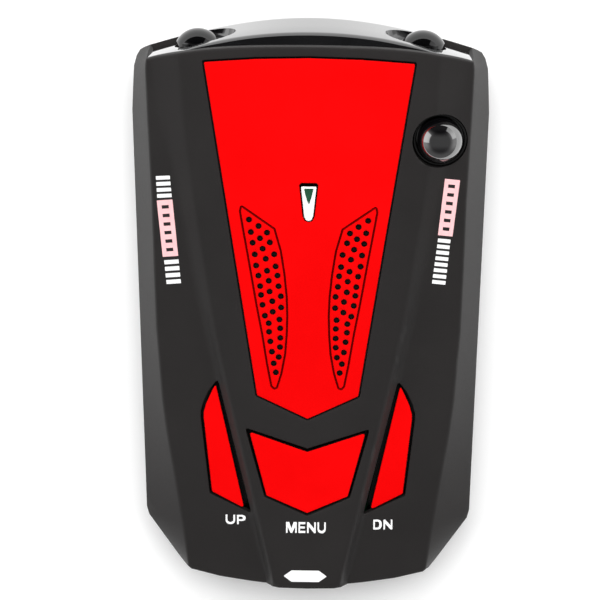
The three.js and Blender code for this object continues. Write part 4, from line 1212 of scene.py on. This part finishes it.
# ------------------------------------------------------------------ CAD pieces that are shown as they are
KEEP = {
    "led_display": (CHIP, 0.15, 2), "display_board": (BOARD, 0.08, 2),
    "non_slip_pad": (RUBBER, 0.3, 3), "main_board": (BOARD, 0.08, 2), "horn_antenna": (CAST, 0.35, 3),
    "microwave_board": (BOARD, 0.08, 2), "shield_can": (TIN, 0.3, 3), "sensor_board": (BOARD, 0.08, 2),
    "indicator_led": (DIFFUSER, 0.2, 3), "laser_sensor_left": (CHIP, 0.15, 2), "laser_sensor_right": (CHIP, 0.15, 2),
    "laser_sensor_roof": (CHIP, 0.15, 2), "speaker_frame": (FRAME, 0.2, 2), "speaker_magnet": (FERRITE, 0.3, 2),
    "speaker_cone": (CONE, 0.1, 2), "speaker_wire_red": (WIRE_RED, 0.06, 2), "speaker_wire_black": (WIRE_BLACK, 0.06, 2),
    "power_inlet": (CHIP, 0.15, 2), "power_switch_housing": (CHIP, 0.15, 2), "power_switch_knob": (CHIP, 0.2, 3),
    "processor_chip": (CHIP, 0.12, 2), "amplifier_chip": (CHIP, 0.12, 2), "filter_capacitor": (CAN, 0.35, 3),
    "choke_coil": (FERRITE, 0.3, 2),
}
for key in ("up", "menu", "down"):
    KEEP[key + "_switch_plunger"] = (IVORY, 0.2, 2)
    KEEP[key + "_switch_housing"] = (CHIP, 0.15, 2)
for place in ("front_right", "front_left", "rear_right", "rear_left"):
    KEEP["case_screw_" + place] = (STEEL, 0.12, 2)
for place in ("rear", "left", "right"):
    KEEP["board_screw_" + place] = (STEEL, 0.12, 2)
for node, (material, width, segments) in KEEP.items():
    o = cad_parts[node]
    if len(o.material_slots) == 0:
        o.data.materials.append(material)
    for material_slot in o.material_slots:
        material_slot.material = material
    mod = o.modifiers.new("edges", "BEVEL")
    mod.width, mod.segments = width * MM, segments
    mod.limit_method, mod.angle_limit = "ANGLE", math.radians(38)
    mod.harden_normals = False
    o.data.shade_smooth()
    o.data.set_sharp_from_angle(angle=math.radians(35))

# ------------------------------------------------------------------ floor, light and world
AMBIENT, SKY_DIM = 0.37, 0.22
scene = bpy.context.scene
scene.view_settings.view_transform = "Standard"
scene.view_settings.look = "None"
scene.view_settings.exposure = 0.0
scene.view_settings.gamma = 1.0

m, tree, shader, at = node_material("floor")
tree.links.new(between(tree, noise(tree, at, 1.5, 2.0), (0.945, 0.945, 0.945), (0.955, 0.955, 0.955)), shader.inputs["Base Color"])
shader.inputs["Roughness"].default_value = 0.9
shader.inputs["Emission Color"].default_value = (1, 1, 1, 1)
# the floor is a lit table: it glows more away from the object, so that it stays evenly white up to the walls; its
# weaker glow near the object is painted shade that deepens the shadow round it
reach = tree.nodes.new("ShaderNodeVectorMath")
reach.operation = "LENGTH"
tree.links.new(at, reach.inputs[0])
near_glow = spread(tree, reach.outputs["Value"], 0.10, 0.24, 0.06, 0.13)
far_glow = spread(tree, reach.outputs["Value"], 0.0, 0.75, 0.13, 0.9)
glow = tree.nodes.new("ShaderNodeMath")
tree.links.new(near_glow, glow.inputs[0])
tree.links.new(far_glow, glow.inputs[1])
tree.links.new(glow.outputs[0], shader.inputs["Emission Strength"])
shader.inputs["Specular IOR Level"].default_value = 0.1
size = 6.0
floor_mesh = bpy.data.meshes.new("floor")
floor_mesh.from_pydata([(-size, -size, -0.00005), (size, -size, -0.00005), (size, size, -0.00005), (-size, size, -0.00005)], [], [(0, 1, 2, 3)])
floor_mesh.materials.append(m)
floor = bpy.data.objects.new("floor", floor_mesh)
scene.collection.objects.link(floor)

world = bpy.data.worlds.new("studio")
scene.world = world
world.use_nodes = True
net = world.node_tree
background = net.nodes["Background"]


def wire(kind, *values, **settings):
    n = net.nodes.new(kind)
    for k, v in settings.items():
        setattr(n, k, v)
    for k, v in enumerate(values):
        if isinstance(v, bpy.types.NodeSocket):
            net.links.new(v, n.inputs[k])
        elif v is not None:
            n.inputs[k].default_value = v
    return n.outputs[0]


def steps(value, a, b, low, high):
    return wire("ShaderNodeMapRange", value, a, b, low, high, interpolation_type="SMOOTHSTEP")


def maths(operation, a, b):
    return wire("ShaderNodeMath", a, b, operation=operation)


# A white studio. What glossy faces mirror: pale walls low down, dim overhead, a dark end behind the camera's front, two bright windows.
sky = net.nodes.new("ShaderNodeTexCoord").outputs["Generated"]
axes = net.nodes.new("ShaderNodeSeparateXYZ")
net.links.new(sky, axes.inputs["Vector"])
ax, ay, az = axes.outputs["X"], axes.outputs["Y"], axes.outputs["Z"]
walls = steps(az, 0.25, 0.7, 0.9, SKY_DIM)
walls = maths("MULTIPLY", walls, maths("MULTIPLY", steps(ay, 0.35, 0.80, 1.0, 0.04), steps(ay, -0.75, -0.25, 0.35, 1.0)))
flat_length = maths("SQRT", maths("SUBTRACT", 1.0, maths("MULTIPLY", az, az)), 0.0)


def pane(x, y, share, top, strength):
    """A bright window in the wall, centred on the heading (x, y)."""
    heading = maths("DIVIDE", maths("ADD", maths("MULTIPLY", ax, x), maths("MULTIPLY", ay, y)), flat_length)
    level = maths("MULTIPLY", steps(az, -0.1, 0.0, 0.0, 1.0), steps(az, top - 0.04, top + 0.04, 1.0, 0.0))
    return maths("MULTIPLY", level, steps(heading, share - 0.015, share + 0.015, 0.0, strength))


pane_left = pane(-0.97, 0.24, 0.93, 0.55, 1.6)
pane_right = pane(0.82, 0.57, 0.90, 0.42, 1.2)
mirrored = maths("ADD", walls, maths("ADD", pane_left, pane_right))
path = net.nodes.new("ShaderNodeLightPath")
is_camera, is_glossy = path.outputs["Is Camera Ray"], path.outputs["Is Glossy Ray"]
rest = maths("SUBTRACT", 1.0, maths("MAXIMUM", is_camera, is_glossy))
strength = maths("ADD", is_camera, maths("ADD", maths("MULTIPLY", is_glossy, mirrored), maths("MULTIPLY", rest, AMBIENT)))
net.links.new(strength, background.inputs["Strength"])
background.inputs["Color"].default_value = (1, 1, 1, 1)


def softbox(name, place, target, width, height, power):
    data = bpy.data.lights.new(name, "AREA")
    data.shape, data.size, data.size_y, data.energy = "RECTANGLE", width, height, power
    o = bpy.data.objects.new(name, data)
    o.location = place
    o.rotation_mode = "QUATERNION"
    o.rotation_quaternion = (Vector(target) - Vector(place)).to_track_quat("-Z", "Y")
    o.visible_glossy = False
    scene.collection.objects.link(o)
    return o


softbox("key", (-0.20, 0.55, 0.95), (0, 0, 0.02), 0.7, 0.7, 8.1)
softbox("fill", (0.24, 0.45, 0.95), (0, 0, 0.02), 0.7, 0.7, 6.6)
